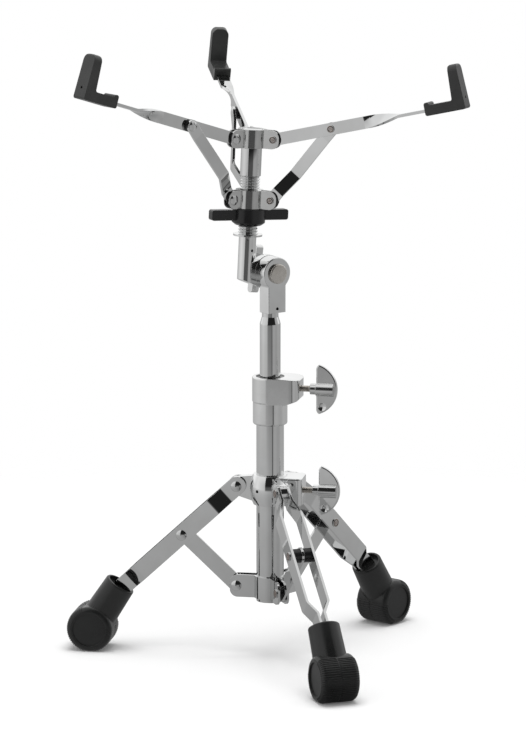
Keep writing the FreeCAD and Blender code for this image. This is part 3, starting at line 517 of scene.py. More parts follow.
class ThreadTree(RepeatTree):
    """Screw thread on a closed cylinder along Z.

    Attributes:
        flank: shares of half the pitch at which a flank leaves the crest and reaches the root.
        weld: distance in metres within which points are merged.
    """

    name = "screw_thread"
    floats = ("Radius", "Depth", "Pitch", "Length")
    counts = ("Around", "Along")
    flank: Span = (0.14, 0.9)
    weld = 0.000002

    def wire(self, w: Wiring) -> Socket:
        """Roll a grid into a cylinder whose first and last rows close it on the axis.

        Args:
            w: the tree's wiring.

        Returns:
            The geometry's socket.
        """
        sheet = w.out("GeometryNodeMeshGrid", {
            "Size X": 1.0,
            "Size Y": 1.0,
            "Vertices X": self.sockets["Around"],
            "Vertices Y": self.sockets["Along"],
        })
        across, along, _ = w.split(w.out("GeometryNodeInputPosition"))
        turn = w.calc("ADD", across, 0.5)
        last = w.calc("SUBTRACT", self.sockets["Along"], 1.0)
        row = w.calc("MULTIPLY", w.calc("ADD", along, 0.5), last)
        share = w.calc("DIVIDE", w.calc("SUBTRACT", row, 1.0), w.calc("SUBTRACT", last, 2.0))
        held = w.calc("MINIMUM", w.calc("MAXIMUM", share, 0.0), 1.0)
        height = w.calc("MULTIPLY", held, self.sockets["Length"])
        turns = w.calc("DIVIDE", height, self.sockets["Pitch"])
        phase = w.calc("FRACT", w.calc("SUBTRACT", turns, turn))
        wave = w.calc("MULTIPLY", w.calc("ABSOLUTE", w.calc("SUBTRACT", phase, 0.5)), 2.0)
        cut = w.calc("MULTIPLY", w.span(wave, self.flank), self.sockets["Depth"])
        after_first = w.calc("GREATER_THAN", row, 0.5)
        before_last = w.calc("LESS_THAN", row, w.calc("SUBTRACT", last, 0.5))
        full = w.calc("SUBTRACT", self.sockets["Radius"], cut)
        radius = w.calc("MULTIPLY", full, w.calc("MULTIPLY", after_first, before_last))
        angle = w.calc("MULTIPLY", turn, math.tau)
        spot = w.out("ShaderNodeCombineXYZ", {
            0: w.calc("MULTIPLY", radius, w.calc("COSINE", angle)),
            1: w.calc("MULTIPLY", radius, w.calc("SINE", angle)),
            2: height,
        })
        wound = w.out("GeometryNodeSetPosition", {"Geometry": sheet, "Position": spot})
        return w.out("GeometryNodeMergeByDistance", {"Geometry": wound, "Distance": self.weld})


class FacingTree(RepeatTree):
    """Round shape on each given point, with its Z along the point's direction."""

    def wire(self, w: Wiring) -> Socket:
        """Set the shape on the points.

        Args:
            w: the tree's wiring.

        Returns:
            The geometry's socket.
        """
        facing = w.out("GeometryNodeInputNamedAttribute", {"Name": FACING}, data_type="FLOAT_VECTOR")
        return w.out("GeometryNodeInstanceOnPoints", {
            "Points": self.sockets["Geometry"],
            "Instance": self.shape(w),
            "Rotation": w.out("FunctionNodeAlignRotationToVector", {"Vector": facing}, axis="Z"),
        })

    def shape(self, w: Wiring) -> Socket:
        """Build the shape about its own Z; each kind of tree has its own.

        Args:
            w: the tree's wiring.

        Returns:
            The shape's socket.
        """
        raise NotImplementedError


class RimTree(FacingTree):
    """Rolled ring on each given point.

    Attributes:
        ring_steps: points round the ring.
        bead_steps: points round its section.
    """

    name = "rolled_rim"
    floats = ("Rim", "Bead")
    ring_steps = 28
    bead_steps = 10

    def shape(self, w: Wiring) -> Socket:
        """Sweep the bead round the rim.

        Args:
            w: the tree's wiring.

        Returns:
            The ring's socket.
        """
        circle = "GeometryNodeCurvePrimitiveCircle"
        path = w.out(circle, {"Resolution": self.ring_steps, "Radius": self.sockets["Rim"]})
        section = w.out(circle, {"Resolution": self.bead_steps, "Radius": self.sockets["Bead"]})
        return w.out("GeometryNodeCurveToMesh", {"Curve": path, "Profile Curve": section})


class PlugTree(FacingTree):
    """Round plug that stands on each given point.

    Attributes:
        steps: points round the plug.
    """

    name = "hole_plug"
    floats = ("Foot", "Top", "Height")
    steps = 24

    def shape(self, w: Wiring) -> Socket:
        """Make the plug, straight or tapered.

        Args:
            w: the tree's wiring.

        Returns:
            The plug's socket.
        """
        return w.out("GeometryNodeMeshCone", {
            "Vertices": self.steps,
            "Radius Top": self.sockets["Top"],
            "Radius Bottom": self.sockets["Foot"],
            "Depth": self.sockets["Height"],
        })


class TreadTree(RepeatTree):
    """Cross ribs on one half of a wheel about Y that follow its rounded shoulder.

    Attributes:
        rib_steps: points round a rib's section.
    """

    name = "tread_ribs"
    floats = ("Radius", "Half Width", "Edge", "Rib", "Sink", "Seam", "Side", "First", "Step", "Floor Skip")
    counts = ("Count", "Across")
    rib_steps = 8

    def wire(self, w: Wiring) -> Socket:
        """Set the rib round the wheel, except where the wheel meets the floor.

        Args:
            w: the tree's wiring.

        Returns:
            The geometry's socket.
        """
        index = w.out("GeometryNodeInputIndex")
        angle = w.calc("ADD", w.calc("MULTIPLY", index, self.sockets["Step"]), self.sockets["First"])
        down = w.calc("COSINE", w.calc("SUBTRACT", angle, math.pi / 2.0))
        kept = w.calc("LESS_THAN", down, w.calc("COSINE", self.sockets["Floor Skip"]))
        return w.out("GeometryNodeInstanceOnPoints", {
            "Points": w.out("GeometryNodePoints", {"Count": self.sockets["Count"]}),
            "Selection": kept,
            "Instance": self.rib(w, index),
            "Rotation": w.out("ShaderNodeCombineXYZ", {1: angle}),
        })

    def rib(self, w: Wiring, index: Socket) -> Socket:
        """Bend one rib over the tread and its shoulder.

        Args:
            w: the tree's wiring.
            index: number of a point along the rib.

        Returns:
            The rib's socket.
        """
        half, edge, seam = (self.sockets[label] for label in ("Half Width", "Edge", "Seam"))
        row = w.out("GeometryNodeMeshLine", {"Count": self.sockets["Across"]}, mode="OFFSET")
        share = w.calc("DIVIDE", index, w.calc("SUBTRACT", self.sockets["Across"], 1.0))
        reach = w.calc("SUBTRACT", half, seam)
        across = w.calc("ADD", w.calc("MULTIPLY", share, reach), seam)
        over = w.calc("MAXIMUM", w.calc("SUBTRACT", across, w.calc("SUBTRACT", half, edge)), 0.0)
        left = w.calc("SUBTRACT", w.calc("MULTIPLY", edge, edge), w.calc("MULTIPLY", over, over))
        drop = w.calc("SQRT", w.calc("MAXIMUM", left, 0.0))
        core = w.calc("SUBTRACT", w.calc("SUBTRACT", self.sockets["Radius"], edge), self.sockets["Sink"])
        side = w.calc("MULTIPLY", across, self.sockets["Side"])
        spot = w.out("ShaderNodeCombineXYZ", {0: w.calc("ADD", core, drop), 1: side})
        bent = w.out("GeometryNodeSetPosition", {"Geometry": row, "Position": spot})
        circle = {"Resolution": self.rib_steps, "Radius": self.sockets["Rib"]}
        return w.out("GeometryNodeCurveToMesh", {
            "Curve": w.out("GeometryNodeMeshToCurve", {"Mesh": bent}),
            "Profile Curve": w.out("GeometryNodeCurvePrimitiveCircle", circle),
            "Fill Caps": True,
        })


# Pieces


def joint(name: str) -> tuple[Vector, Vector]:
    """Place and axis of a joint.

    Args:
        name: the joint's name in the record.

    Returns:
        Its position in metres and its unit axis.
    """
    row = next(j for j in frame["joints"] if j["name"] == name)
    return Vector(row["pos_m"]), Vector(row["axis"]).normalized()


def numbered(pattern: str) -> tuple[str, ...]:
    """Names of the three of a kind, with each number in the place of an N."""
    return tuple(pattern.replace("N", str(number)) for number in NUMBERS)


def vertices(node: str) -> list[Vector]:
    """Places of a CAD node's vertices, in metres."""
    return [vertex.co for vertex in frame["nodes"][node].data.vertices]


def towards(origin: Vector, axis: Vector) -> Matrix:
    """Placement that lays Z along an axis.

    Args:
        origin: where the shape's origin goes.
        axis: where its Z points.

    Returns:
        The placement.
    """
    return Matrix.Translation(origin) @ axis.to_track_quat("Z", "Y").to_matrix().to_4x4()


def lathe(profile: Profile, segments: int = 96) -> bmesh.types.BMesh:
    """Closed solid of revolution about Z.

    Args:
        profile: radius and height of each ring in millimetres, from one end on the axis to the other.
        segments: faces round it.

    Returns:
        The shape in metres.
    """
    shape = bmesh.new()
    rings = []
    for radius, height in profile:
        ring = []
        for step in range(segments if radius > 0.0 else 1):
            angle = math.tau * step / segments
            x, y = radius * math.cos(angle), radius * math.sin(angle)
            ring.append(shape.verts.new((x * MM, y * MM, height * MM)))
        rings.append(ring)
    for low, high in zip(rings, rings[1:]):
        for step in range(segments):
            after = (step + 1) % segments
            lower = [low[step % len(low)], low[after % len(low)]]
            upper = [high[after % len(high)], high[step % len(high)]]
            shape.faces.new(list(dict.fromkeys(lower + upper)))
    return shape


def face_along(node: str, spot: Vector, facing: Vector, reach: float) -> Vector:
    """Middle of the face that a rivet's or hole's axis comes out of.

    Args:
        node: the CAD node with the face.
        spot: a point on the axis.
        facing: direction of the face.
        reach: how far from the axis the face is looked for, in millimetres.

    Returns:
        The axis point in the face.
    """
    spans = [vertex - spot for vertex in vertices(node)]
    rises = [span.dot(facing) for span in spans if span.cross(facing).length < reach * MM]
    return spot + facing * max(rises)


def facing_points(faces: Ends, shift: float) -> Mesh:
    """Points for a tree that sets a shape on each.

    Args:
        faces: middle of each face and its direction.
        shift: distance of the points out of those faces, in millimetres.

    Returns:
        The points with their directions.
    """
    mesh = bpy.data.meshes.new("facing_points")
    mesh.from_pydata([spot + facing * shift * MM for spot, facing in faces], [], [])
    mesh.attributes.new(FACING, "FLOAT_VECTOR", "POINT")
    for row, (_, facing) in zip(mesh.attributes[FACING].data, faces):
        row.vector = facing
    return mesh


def piece(name: str, mesh: Mesh, body: str, finish: Finish, crease: Crease = Crease.EDGED) -> Piece:
    """Put a mesh in the scene as a piece of the stand.

    Args:
        name: the piece's name.
        mesh: its mesh, in place.
        body: the CAD body it rides on.
        finish: its finish.
        crease: which of its edges stay sharp.

    Returns:
        The piece.
    """
    mesh.materials.clear()
    mesh.materials.append(finish.material())
    mesh.polygons.foreach_set("material_index", [0] * len(mesh.polygons))
    mesh.polygons.foreach_set("use_smooth", [True] * len(mesh.polygons))
    mesh.set_sharp_from_angle(angle=math.radians(crease.value))
    mesh.name = name
    made = bpy.data.objects.new(name, mesh)
    bpy.context.scene.collection.objects.link(made)
    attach(made, body)
    LOG.info("piece %s on %s: %d faces, %s", name, body, len(mesh.polygons), finish.name)
    return made


def joined(name: str, parts: list[Mesh | bmesh.types.BMesh], place: Matrix) -> Mesh:
    """One mesh of several, set in place.

    Args:
        name: the mesh's name.
        parts: the meshes to join, all in one frame.
        place: where that frame goes.

    Returns:
        The mesh.
    """
    whole = bmesh.new()
    for part in parts:
        if isinstance(part, bmesh.types.BMesh):
            loose = bpy.data.meshes.new(name)
            part.to_mesh(loose)
            part.free()
            part = loose
        whole.from_mesh(part)
        bpy.data.meshes.remove(part)
    whole.transform(place)
    bmesh.ops.recalc_face_normals(whole, faces=whole.faces)
    mesh = bpy.data.meshes.new(name)
    whole.to_mesh(mesh)
    whole.free()
    return mesh


@dataclass
class SubAssembly:
    """Group of CAD bodies that are dressed together.

    Attributes:
        bodies: names of its bodies.
    """

    bodies: tuple[str, ...]

    def dress(self) -> None:
        """Give every CAD node of the group its finish."""
        rows = frame["record"]["subparts"]
        slots = {row["node"]: Slot(row["material_slot"]) for row in rows}
        members = frame["record"]["behaviour"]["bodies"]
        for body in self.bodies:
            for node in members[body]:
                own = [finish for ending, finish in SPECIAL.items() if node.endswith(ending)]
                finish = own[0] if own else FINISHES[slots[node]]
                mesh = frame["nodes"][node].data
                mesh.materials.clear()
                mesh.materials.append(finish.material())
                LOG.info("node %s on %s: %s", node, body, finish.name)

    def build(self) -> None:
        """Add the group's own pieces; each group has its own."""
        raise NotImplementedError


@dataclass
class RivetTails:
    """Rolled brown ends of hollow rivets, with sizes in millimetres.

    Attributes:
        rims: tree that rolls them.
        plugs: tree that fills their hollows with light plugs, a painted highlight of each hollow's lit bottom.
        rim: radius of the roll's middle.
        bead: radius of the roll.
        reach: how far from its axis a rivet's face is looked for, as a share of the rim.
        rim_sink: how deep the roll's middle lies in the rivet's face, as a share of the bead.
        plug_inset: how far inside the roll's middle a plug's foot ends, as a share of the bead.
        plug_sink: how deep the plug's foot lies in the rivet's face, as a share of the bead.
        plug_height: height of the plug, as a share of the bead.
        plug_top: radius of the plug's top, as a share of its foot's.
    """

    rims: RimTree
    plugs: PlugTree
    rim: float
    bead: float
    reach: float = 2.0
    rim_sink: float = 0.7
    plug_inset: float = 0.4
    plug_sink: float = 0.6
    plug_height: float = 0.7
    plug_top: float = 0.7

    def build(self, node: str, body: str, ends: Ends) -> None:
        """Roll a ring and fill its hollow on each rivet end of a node.

        Args:
            node: the CAD rivets.
            body: the body that holds them.
            ends: a point on each rivet's axis and the direction of its tail.
        """
        reach = self.reach * self.rim
        faces = [(face_along(node, spot, facing, reach), facing) for spot, facing in ends]
        rims = self.rims.realise(
            facing_points(faces, -self.rim_sink * self.bead), ROLLED_STEEL,
            rim=self.rim * MM, bead=self.bead * MM)
        piece(f"{node}_tails", rims, body, ROLLED_STEEL, Crease.ROUND)
        foot = self.rim - self.plug_inset * self.bead
        # Light plug in each hollow: painted highlight of the hollow's lit bottom
        plugs = self.plugs.realise(
            facing_points(faces, -self.plug_sink * self.bead), HOLLOW_PAINTED_LIGHT,
            foot=foot * MM, top=self.plug_top * foot * MM, height=self.plug_height * self.bead * MM)
        piece(f"{node}_hollows", plugs, body, HOLLOW_PAINTED_LIGHT)


@dataclass
class PinEnd:
    """Black end of a pin that is set in a casting, with sizes in millimetres.

    Attributes:
        plugs: tree that makes it.
        radius: radius of the pin.
        recess: how deep its end lies under the casting's face.
        length: length of the pin.
        reach: how far from its axis the casting's face is looked for, as a share of the radius.
    """

    plugs: PlugTree
    radius: float = 1.46
    recess: float = 0.3
    length: float = 3.0
    reach: float = 1.2

    def build(self, node: str, body: str, spot: Vector, facing: Vector) -> Piece:
        """Set a pin in its hole.

        Args:
            node: the CAD casting with the hole.
            body: the body that the casting belongs to.
            spot: a point on the hole's axis.
            facing: direction in which the hole opens.

        Returns:
            The piece.
        """
        face = face_along(node, spot, facing, self.reach * self.radius)
        mesh = self.plugs.realise(
            facing_points([(face, facing)], -self.recess - self.length), BLACK_STEEL,
            foot=self.radius * MM, top=self.radius * MM, height=self.length * MM)
        return piece(f"{node}_pin", mesh, body, BLACK_STEEL)


@dataclass
class ScrewThread:
    """Screw thread, with sizes in millimetres.

    Attributes:
        tree: tree that cuts it.
        radius: outer radius.
        pitch: rise of one turn.
        depth: depth of the cut.
        around: points round it.
        rows: rows of points along one turn.
    """

    tree: ThreadTree
    radius: float
    pitch: float
    depth: float
    around: int
    rows: float

    def cut(self, length: float, finish: Finish) -> Mesh:
        """Cut a closed length of thread along Z from the origin.

        Args:
            length: the length in millimetres.
            finish: finish of the thread.

        Returns:
            The mesh.
        """
        return self.tree.realise(
            bpy.data.meshes.new("thread"), finish,
            radius=self.radius * MM, depth=self.depth * MM, pitch=self.pitch * MM, length=length * MM,
            around=self.around, along=int(length / self.pitch * self.rows))


@dataclass
class WingScrew:
    """Threaded clamping screw of a wing knob.

    Attributes:
        thread: its thread.
    """

    thread: ScrewThread

    def build(self, node: str, body: str, turning_joint: str) -> Piece:
        """Thread a screw in place of its CAD node.

        Args:
            node: the CAD screw.
            body: the body that it turns with.
            turning_joint: the joint that it turns on.

        Returns:
            The piece.
        """
        spot, axis = joint(turning_joint)
        runs = [(vertex - spot).dot(axis) for vertex in vertices(node)]
        thread = self.thread.cut((max(runs) - min(runs)) / MM, STEEL)
        mesh = joined(node, [thread], towards(spot + axis * min(runs), axis))
        made = piece(f"{node}_thread", mesh, body, STEEL, Crease.THREADED)
        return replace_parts(made, node)


@dataclass
class Tripod(SubAssembly):
    """Folding legs, braces, brackets and rubber feet on the base tube, with sizes in millimetres.

    Attributes:
        tails: rolled ends of the tripod's rivets.
        treads: tree that makes the tread ribs.
        screw: the collar's and the clamp's wing screws.
        pin: the collar's guide pin.
        wheel_r: radius of a foot's tread.
        wheel_edge: shoulder radius of a foot's tread.
        wheel_flat: how far the tread is pressed flat on the floor.
        rib: radius of a tread rib.
        sink: how far a rib's middle lies under the tread.
        seam: half the gap between the ribs along the tread's middle.
        ribs: tread ribs round a whole wheel.
        rib_points: points along one rib.
        floor_skip: half the arc in degrees at the floor that has no ribs.
        sleeve_angle: rise of the foot's sleeve in degrees.
        sleeve_half: half the arc in degrees that the sleeve takes of the tread.
    """

    tails: RivetTails
    treads: TreadTree
    screw: WingScrew
    pin: PinEnd
    wheel_r: float = 21.2
    wheel_edge: float = 4.5
    wheel_flat: float = 0.25
    rib: float = 0.66
    sink: float = 0.08
    seam: float = 0.55
    ribs: int = 64
    rib_points: int = 13
    floor_skip: float = 16.0
    sleeve_angle: float = 57.0
    sleeve_half: float = 52.0

    def build(self) -> None:
        """Add the rivet tails, treads, guide pin and screws."""
        braces = [joint(name) for name in ("leg_fold", "brace_2_foot", "brace_3_foot")]
        tops = [joint(name) for name in numbered("leg_N_top")]
        self.tails.build("lower_bracket_rivets", "base", braces)
        self.tails.build("collar_rivets", "leg_collar", tops)
        middle, _ = joint("leg_1_mid")
        for number, (_, axis) in zip(NUMBERS, tops):
            degrees = (number - 1) * FULL_TURN / len(NUMBERS)
            turn = Matrix.Rotation(math.radians(degrees), 3, "Z")
            self.tails.build(f"leg_{number}_rivet", f"leg_{number}", [(turn @ middle, axis)])
            self.tread(number, axis)
        knob, _ = joint("leg_knob_turn")
        (_, first), (_, second), _ = tops
        between = (UP.cross(first) + UP.cross(second)).normalized()
        self.pin.build("leg_collar", "leg_collar", UP * knob.z, between)
        self.screw.build("leg_screw", "leg_knob", "leg_knob_turn")
        self.screw.build("height_screw", "height_knob", "height_knob_turn")

    def tread(self, number: int, axis: Vector) -> Piece:
        """Rib one foot's tread, with the ribs of one half in line with the gaps of the other.

        Args:
            number: the leg's number.
            axis: the leg's hinge axis.

        Returns:
            The piece.
        """
        name = f"leg_{number}_foot"
        outward = UP.cross(axis)
        far = max(spot.dot(outward) for spot in vertices(name))
        wide = max(abs(spot.dot(axis)) for spot in vertices(name))
        hub = outward * (far - self.wheel_r * MM) + UP * ((self.wheel_r - self.wheel_flat) * MM)
        step = FULL_TURN / self.ribs
        free = FULL_TURN - 2.0 * self.sleeve_half
        start = FULL_TURN / 2.0 + self.sleeve_angle + self.sleeve_half
        halves = [
            self.treads.realise(
                bpy.data.meshes.new(name), RUBBER,
                radius=self.wheel_r * MM, half_width=wide, edge=self.wheel_edge * MM, rib=self.rib * MM,
                sink=self.sink * MM, seam=self.seam * MM, side=side,
                first=math.radians(start + lag), step=math.radians(step),
                floor_skip=math.radians(self.floor_skip), count=int(free / step) + 1,
                across=self.rib_points)
            for side, lag in ((-1.0, 0.0), (1.0, step / 2.0))
        ]
        turn = Matrix((outward, -axis, UP)).transposed().to_4x4()
        mesh = joined(name, halves, Matrix.Translation(hub) @ turn)
        return piece(f"{name}_tread", mesh, f"leg_{number}", RUBBER, Crease.RIBBED)


@dataclass
class Column(SubAssembly):
    """Rod, tilter and the parts that carry them.

    Attributes:
        pin: the pin that holds the lower casting on the rod.
        pin_drop: depth of that pin below the tilter's pivot, in millimetres.
    """

    pin: PinEnd
    pin_drop: float = 32.5

    def build(self) -> None:
        """Add the pin of the lower casting."""
        spot, axis = joint("basket_tilt")
        self.pin.build("tilter_lower", "rod", spot - UP * (self.pin_drop * MM), axis)


@dataclass
class Basket(SubAssembly):
    """Post, collars, arms, struts and rubber rests, with sizes in millimetres and heights above the pivot.

    Attributes:
        tails: rolled ends of the basket's rivets.
        thread: the post's thread.
        pin: the pin that holds the post in the upper casting.
        pin_z: height of that pin.
        lower_collar_z: height of the lower collar.
        spigot_r: radius of the post's spigot.
        spigot_low: low end of the spigot.
        thread_low: start of the thread.
        thread_high: end of the thread.
        smooth_r: radius of the plain stretch.
        chamfer: chamfer at both ends of the plain stretch.
        chamfer_round: how near the top chamfer's middle comes to the square corner, as a share of it.
        post_top: top of the post.
        arm_link: distance between an arm's two rivets.
        arm_slope: rise of an arm in degrees.
    """

    tails: RivetTails
    thread: ScrewThread
    pin: PinEnd
    pin_z: float = 19.9
    lower_collar_z: float = 66.9
    spigot_r: float = 6.0
    spigot_low: float = 21.5
    thread_low: float = 34.6
    thread_high: float = 87.0
    smooth_r: float = 9.525
    chamfer: float = 1.2
    chamfer_round: float = 0.3
    post_top: float = 130.7
    arm_link: float = 55.58
    arm_slope: float = 14.76

    def build(self) -> None:
        """Add the post, the rivet tails and the upper casting's pin."""
        self.post()
        uppers = [joint(name) for name in numbered("arm_N_hinge")]
        lowers = [joint(name) for name in numbered("strut_N_hinge")]
        self.tails.build("upper_collar_rivets", "basket", uppers)
        self.tails.build("lower_collar_rivets", "lower_collar", lowers)
        seat, up = joint("collar_lift")
        _, across = joint("basket_tilt")
        pin_spot = seat + up * ((self.pin_z - self.lower_collar_z) * MM)
        self.pin.build("tilter_upper", "basket", pin_spot, across)
        rise = math.radians(self.arm_slope)
        for number, (spot, axis) in zip(NUMBERS, uppers):
            along = up.cross(axis) * math.cos(rise) + up * math.sin(rise)
            ends = [(spot + along * (self.arm_link * MM), axis)]
            self.tails.build(f"arm_{number}_rivet", f"arm_{number}", ends)

    def post(self) -> Piece:
        """Post with a cut thread in place of the CAD one.

        Returns:
            The piece.
        """
        thread = self.thread.cut(self.thread_high - self.thread_low, CHROME)
        thread.transform(Matrix.Translation(UP * (self.thread_low * MM)))
        spigot = lathe([
            (0.0, self.spigot_low),
            (self.spigot_r, self.spigot_low),
            (self.spigot_r, self.thread_low),
            (0.0, self.thread_low),
        ])
        bevel = self.chamfer * self.chamfer_round
        plain = lathe([
            (0.0, self.thread_high),
            (self.thread.radius - self.thread.depth, self.thread_high),
            (self.smooth_r, self.thread_high + self.chamfer),
            (self.smooth_r, self.post_top - self.chamfer),
            (self.smooth_r - bevel, self.post_top - bevel),
            (self.smooth_r - self.chamfer, self.post_top),
            (0.0, self.post_top),
        ])
        seat, up = joint("collar_lift")
        place = towards(seat - up * (self.lower_collar_z * MM), up)
        mesh = joined("post", [thread, spigot, plain], place)
        made = piece("basket_post_thread", mesh, "basket", CHROME, Crease.TURNED)
        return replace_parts(made, "basket_post")


# Studio


@dataclass(frozen=True)
class Softbox:
    """Square soft lamp.

    Attributes:
        name: the lamp's name.
        spot: where it hangs, in metres.
        side: length of its side in metres.
        watts: its power.
    """

    name: str
    spot: Place
    side: float
    watts: float


@dataclass
class Studio:
    """Camera, floor and light of a white product photograph.

    A brightness is the one that polished metal mirrors. Bearings are degrees to the right of straight behind
    the camera, heights are those of a unit direction, and distances are metres from the stand's middle. A
    soft edge is given as its start and its end.

    Attributes:
        target: point that the camera looks at, in metres.
        distance: from the camera to that point.
        elevation: of the camera in degrees.
        focal: focal length in pixels of the photograph.
        long_side: the photograph's long side in pixels.
        sensor: width of the camera's sensor in millimetres.
        sight: how far the camera sees, in metres.
        room: brightness of the walls by bearing.
        overhead: brightness of the ceiling.
        ceiling: heights of the soft edge between walls and ceiling.
        dark: brightness of the unlit side of the room, high up behind the camera.
        dark_left: bearings of that side's left edge.
        dark_right: bearings of its right edge.
        dark_low: heights of its lower edge.
        dark_high: heights of its upper edge.
        backdrop: brightness of the white sweep behind the stand.
        sweep_front: depths of a unit direction at the sweep's front edge.
        sweep_low: heights of the sweep's lower edge.
        paper: brightness by bearing of the glow that polished metal mirrors in place of the lit floor near the
            stand.
        paper_near: distances between which the painted shade of the stand on the mirrored floor fades.
        paper_shade: shares of the mirrored floor's brightness at those distances, dimmer near the stand as painted
            shade.
        paper_end: distances between which the mirrored floor runs out.
        ambient: even light on matt surfaces.
        floor_half: half the floor's side in metres.
        floor_clouds: uneven spots of the floor per metre.
        floor_detail: finer layers of those.
        floor_range: noise values between which they go from darker to paler.
        floor_white: whiteness of the darker and of the paler ones.
        floor_glow: share of the floor's white that doesn't depend on the lamps.
        floor_end: distances between which the floor runs out into the white.
        lamps: the lamps.
    """

    target: Place = (-0.00655, 0.0, 0.27467)
    distance: float = 4.2919
    elevation: float = 11.27
    focal: float = 4694.4
    long_side: float = 729.0
    sensor: float = 36.0
    sight: float = 100.0
    room: Levels = (
        (-180.0, 0.45), (-140.0, 0.58), (-112.0, 0.78), (-80.0, 0.95), (-52.0, 0.78), (-36.0, 0.68),
        (-31.0, 0.62), (-27.5, 0.1), (-10.0, 0.11), (14.0, 0.11), (22.0, 0.1), (26.0, 0.42), (45.0, 0.48),
        (70.0, 0.43), (95.0, 0.53), (120.0, 0.46), (150.0, 0.4), (180.0, 0.45))
    overhead: float = 0.95
    ceiling: Span = (0.2, 0.6)
    dark: float = 0.02
    dark_left: Span = (-32.0, -28.0)
    dark_right: Span = (61.0, 67.0)
    dark_low: Span = (0.02, 0.14)
    dark_high: Span = (0.95, 0.985)
    backdrop: float = 1.1
    sweep_front: Span = (0.05, 0.4)
    sweep_low: Span = (0.0, 0.1)
    paper: Levels = (
        (-180.0, 0.5), (-90.0, 0.6), (-40.0, 0.58), (-22.0, 0.52), (-8.0, 0.45), (15.0, 0.4), (18.0, 0.12),
        (23.0, 0.12), (27.0, 0.48), (45.0, 0.5), (62.0, 0.45), (80.0, 0.45), (100.0, 0.55), (180.0, 0.5))
    # The mirrored floor's glow dims near the stand: painted shade of the stand on the floor
    paper_near: Span = (0.15, 0.75)
    paper_shade: Span = (0.78, 1.0)
    paper_end: Span = (0.8, 2.2)
    ambient: float = 0.62
    floor_half: float = 12.0
    floor_clouds: float = 3.0
    floor_detail: float = 2.0
    floor_range: Span = (0.3, 0.7)
    floor_white: Span = (0.84, 0.85)
    floor_glow: float = 0.05
    floor_end: Span = (0.45, 0.95)
    lamps: tuple[Softbox, ...] = (
        Softbox("overhead_softbox", (0.0, -0.2, 2.6), side=1.6, watts=46.0),
        Softbox("left_softbox", (-2.4, -1.6, 1.6), side=1.8, watts=5.0),
    )

    def build(self) -> None:
        """Set up the whole studio."""
        self.camera()
        self.world()
        self.floor()
        for lamp in self.lamps:
            self.hang(lamp)
        bpy.context.scene.view_settings.view_transform = "Standard"

    def camera(self) -> None:
        """Camera of the photograph."""
        data = bpy.data.cameras.new("camera")
        data.sensor_width = self.sensor
        data.lens = self.focal * self.sensor / self.long_side
        data.clip_end = self.sight
        made = bpy.data.objects.new("camera", data)
        bpy.context.scene.collection.objects.link(made)
        rise = math.radians(self.elevation)
        back = Vector((0.0, -math.cos(rise), math.sin(rise)))
        made.location = Vector(self.target) + back * self.distance
        made.rotation_euler = (math.pi / 2.0 - rise, 0.0, 0.0)
        bpy.context.scene.camera = made
        LOG.info("camera at %s, lens %.1f mm", tuple(round(v, 3) for v in made.location), data.lens)

    def world(self) -> None:
        """White behind the stand, a soft room in its mirrors and even light on the rest."""
        world = bpy.data.worlds.new("studio")
        world.use_nodes = True
        world.cycles.sampling_method = "NONE"
        world.node_tree.nodes.clear()
        bpy.context.scene.world = world
        w = Wiring(world.node_tree)
        path = w.add("ShaderNodeLightPath").outputs
        lit = w.mix(path["Is Glossy Ray"], grey(self.ambient), self.mirrored_room(w))
        straight = w.calc("MAXIMUM", path["Is Camera Ray"], path["Is Transmission Ray"])
        sky = w.out("ShaderNodeBackground", {"Color": w.mix(straight, lit, grey(1.0)), "Strength": 1.0})
        w.add("ShaderNodeOutputWorld", {"Surface": sky})

    def mirrored_room(self, w: Wiring) -> Socket:
        """Walls, ceiling, unlit side and white sweep that polished metal mirrors.

        Args:
            w: the world's wiring.

        Returns:
            The colour's socket.
        """
        way = w.split(w.add("ShaderNodeTexCoord").outputs["Generated"])
        _, depth, height = way
        walls = self.round_about(w, way, self.room)
        lit = w.mix(w.span(height, self.ceiling), walls, grey(self.overhead))
        side = self.bearing(w, way)
        falling = (1.0, 0.0)
        wide = w.calc("MULTIPLY", w.span(side, self.dark_left), w.span(side, self.dark_right, falling))
        tall = w.calc("MULTIPLY", w.span(height, self.dark_low), w.span(height, self.dark_high, falling))
        shaded = w.mix(w.calc("MULTIPLY", wide, tall), lit, grey(self.dark))
        sweep = w.calc("MULTIPLY", w.span(depth, self.sweep_front), w.span(height, self.sweep_low))
        return w.mix(sweep, shaded, grey(self.backdrop))

    def bearing(self, w: Wiring, way: tuple[Socket, ...]) -> Socket:
        """Angle to the right of straight behind the camera.

        Args:
            w: the wiring of the world or the floor.
            way: X, Y and Z of a direction or a place.

        Returns:
            The angle's socket, in degrees.
        """
        x, y, _ = way
        return w.calc("DEGREES", w.calc("ARCTAN2", x, w.calc("MULTIPLY", y, -1.0)))

    def round_about(self, w: Wiring, way: tuple[Socket, ...], levels: Levels) -> Socket:
        """Brightness by bearing from the stand.

        Args:
            w: the wiring of the world or the floor.
            way: X, Y and Z of a direction or a place.
            levels: brightness by bearing.

        Returns:
            The brightness as a colour's socket.
        """
        half = FULL_TURN / 2.0
        ramp = w.add("ShaderNodeValToRGB", {0: w.span(self.bearing(w, way), (-half, half))})
        stops = ramp.color_ramp.elements
        while len(stops) < len(levels):
            stops.new(1.0)
        for stop, (degrees, level) in zip(stops, levels):
            stop.position = degrees / FULL_TURN + 0.5
            stop.color = grey(level)
        return ramp.outputs[0]

    def floor(self) -> None:
        """Pale floor that keeps the stand's soft shadow and runs out into the white."""
        mesh = bpy.data.meshes.new("floor")
        end = self.floor_half
        corners = [(-end, -end, 0.0), (end, -end, 0.0), (end, end, 0.0), (-end, end, 0.0)]
        mesh.from_pydata(corners, [], [(0, 1, 2, 3)])
        mesh.materials.append(self.floor_material())
        made = bpy.data.objects.new("floor", mesh)
        bpy.context.scene.collection.objects.link(made)

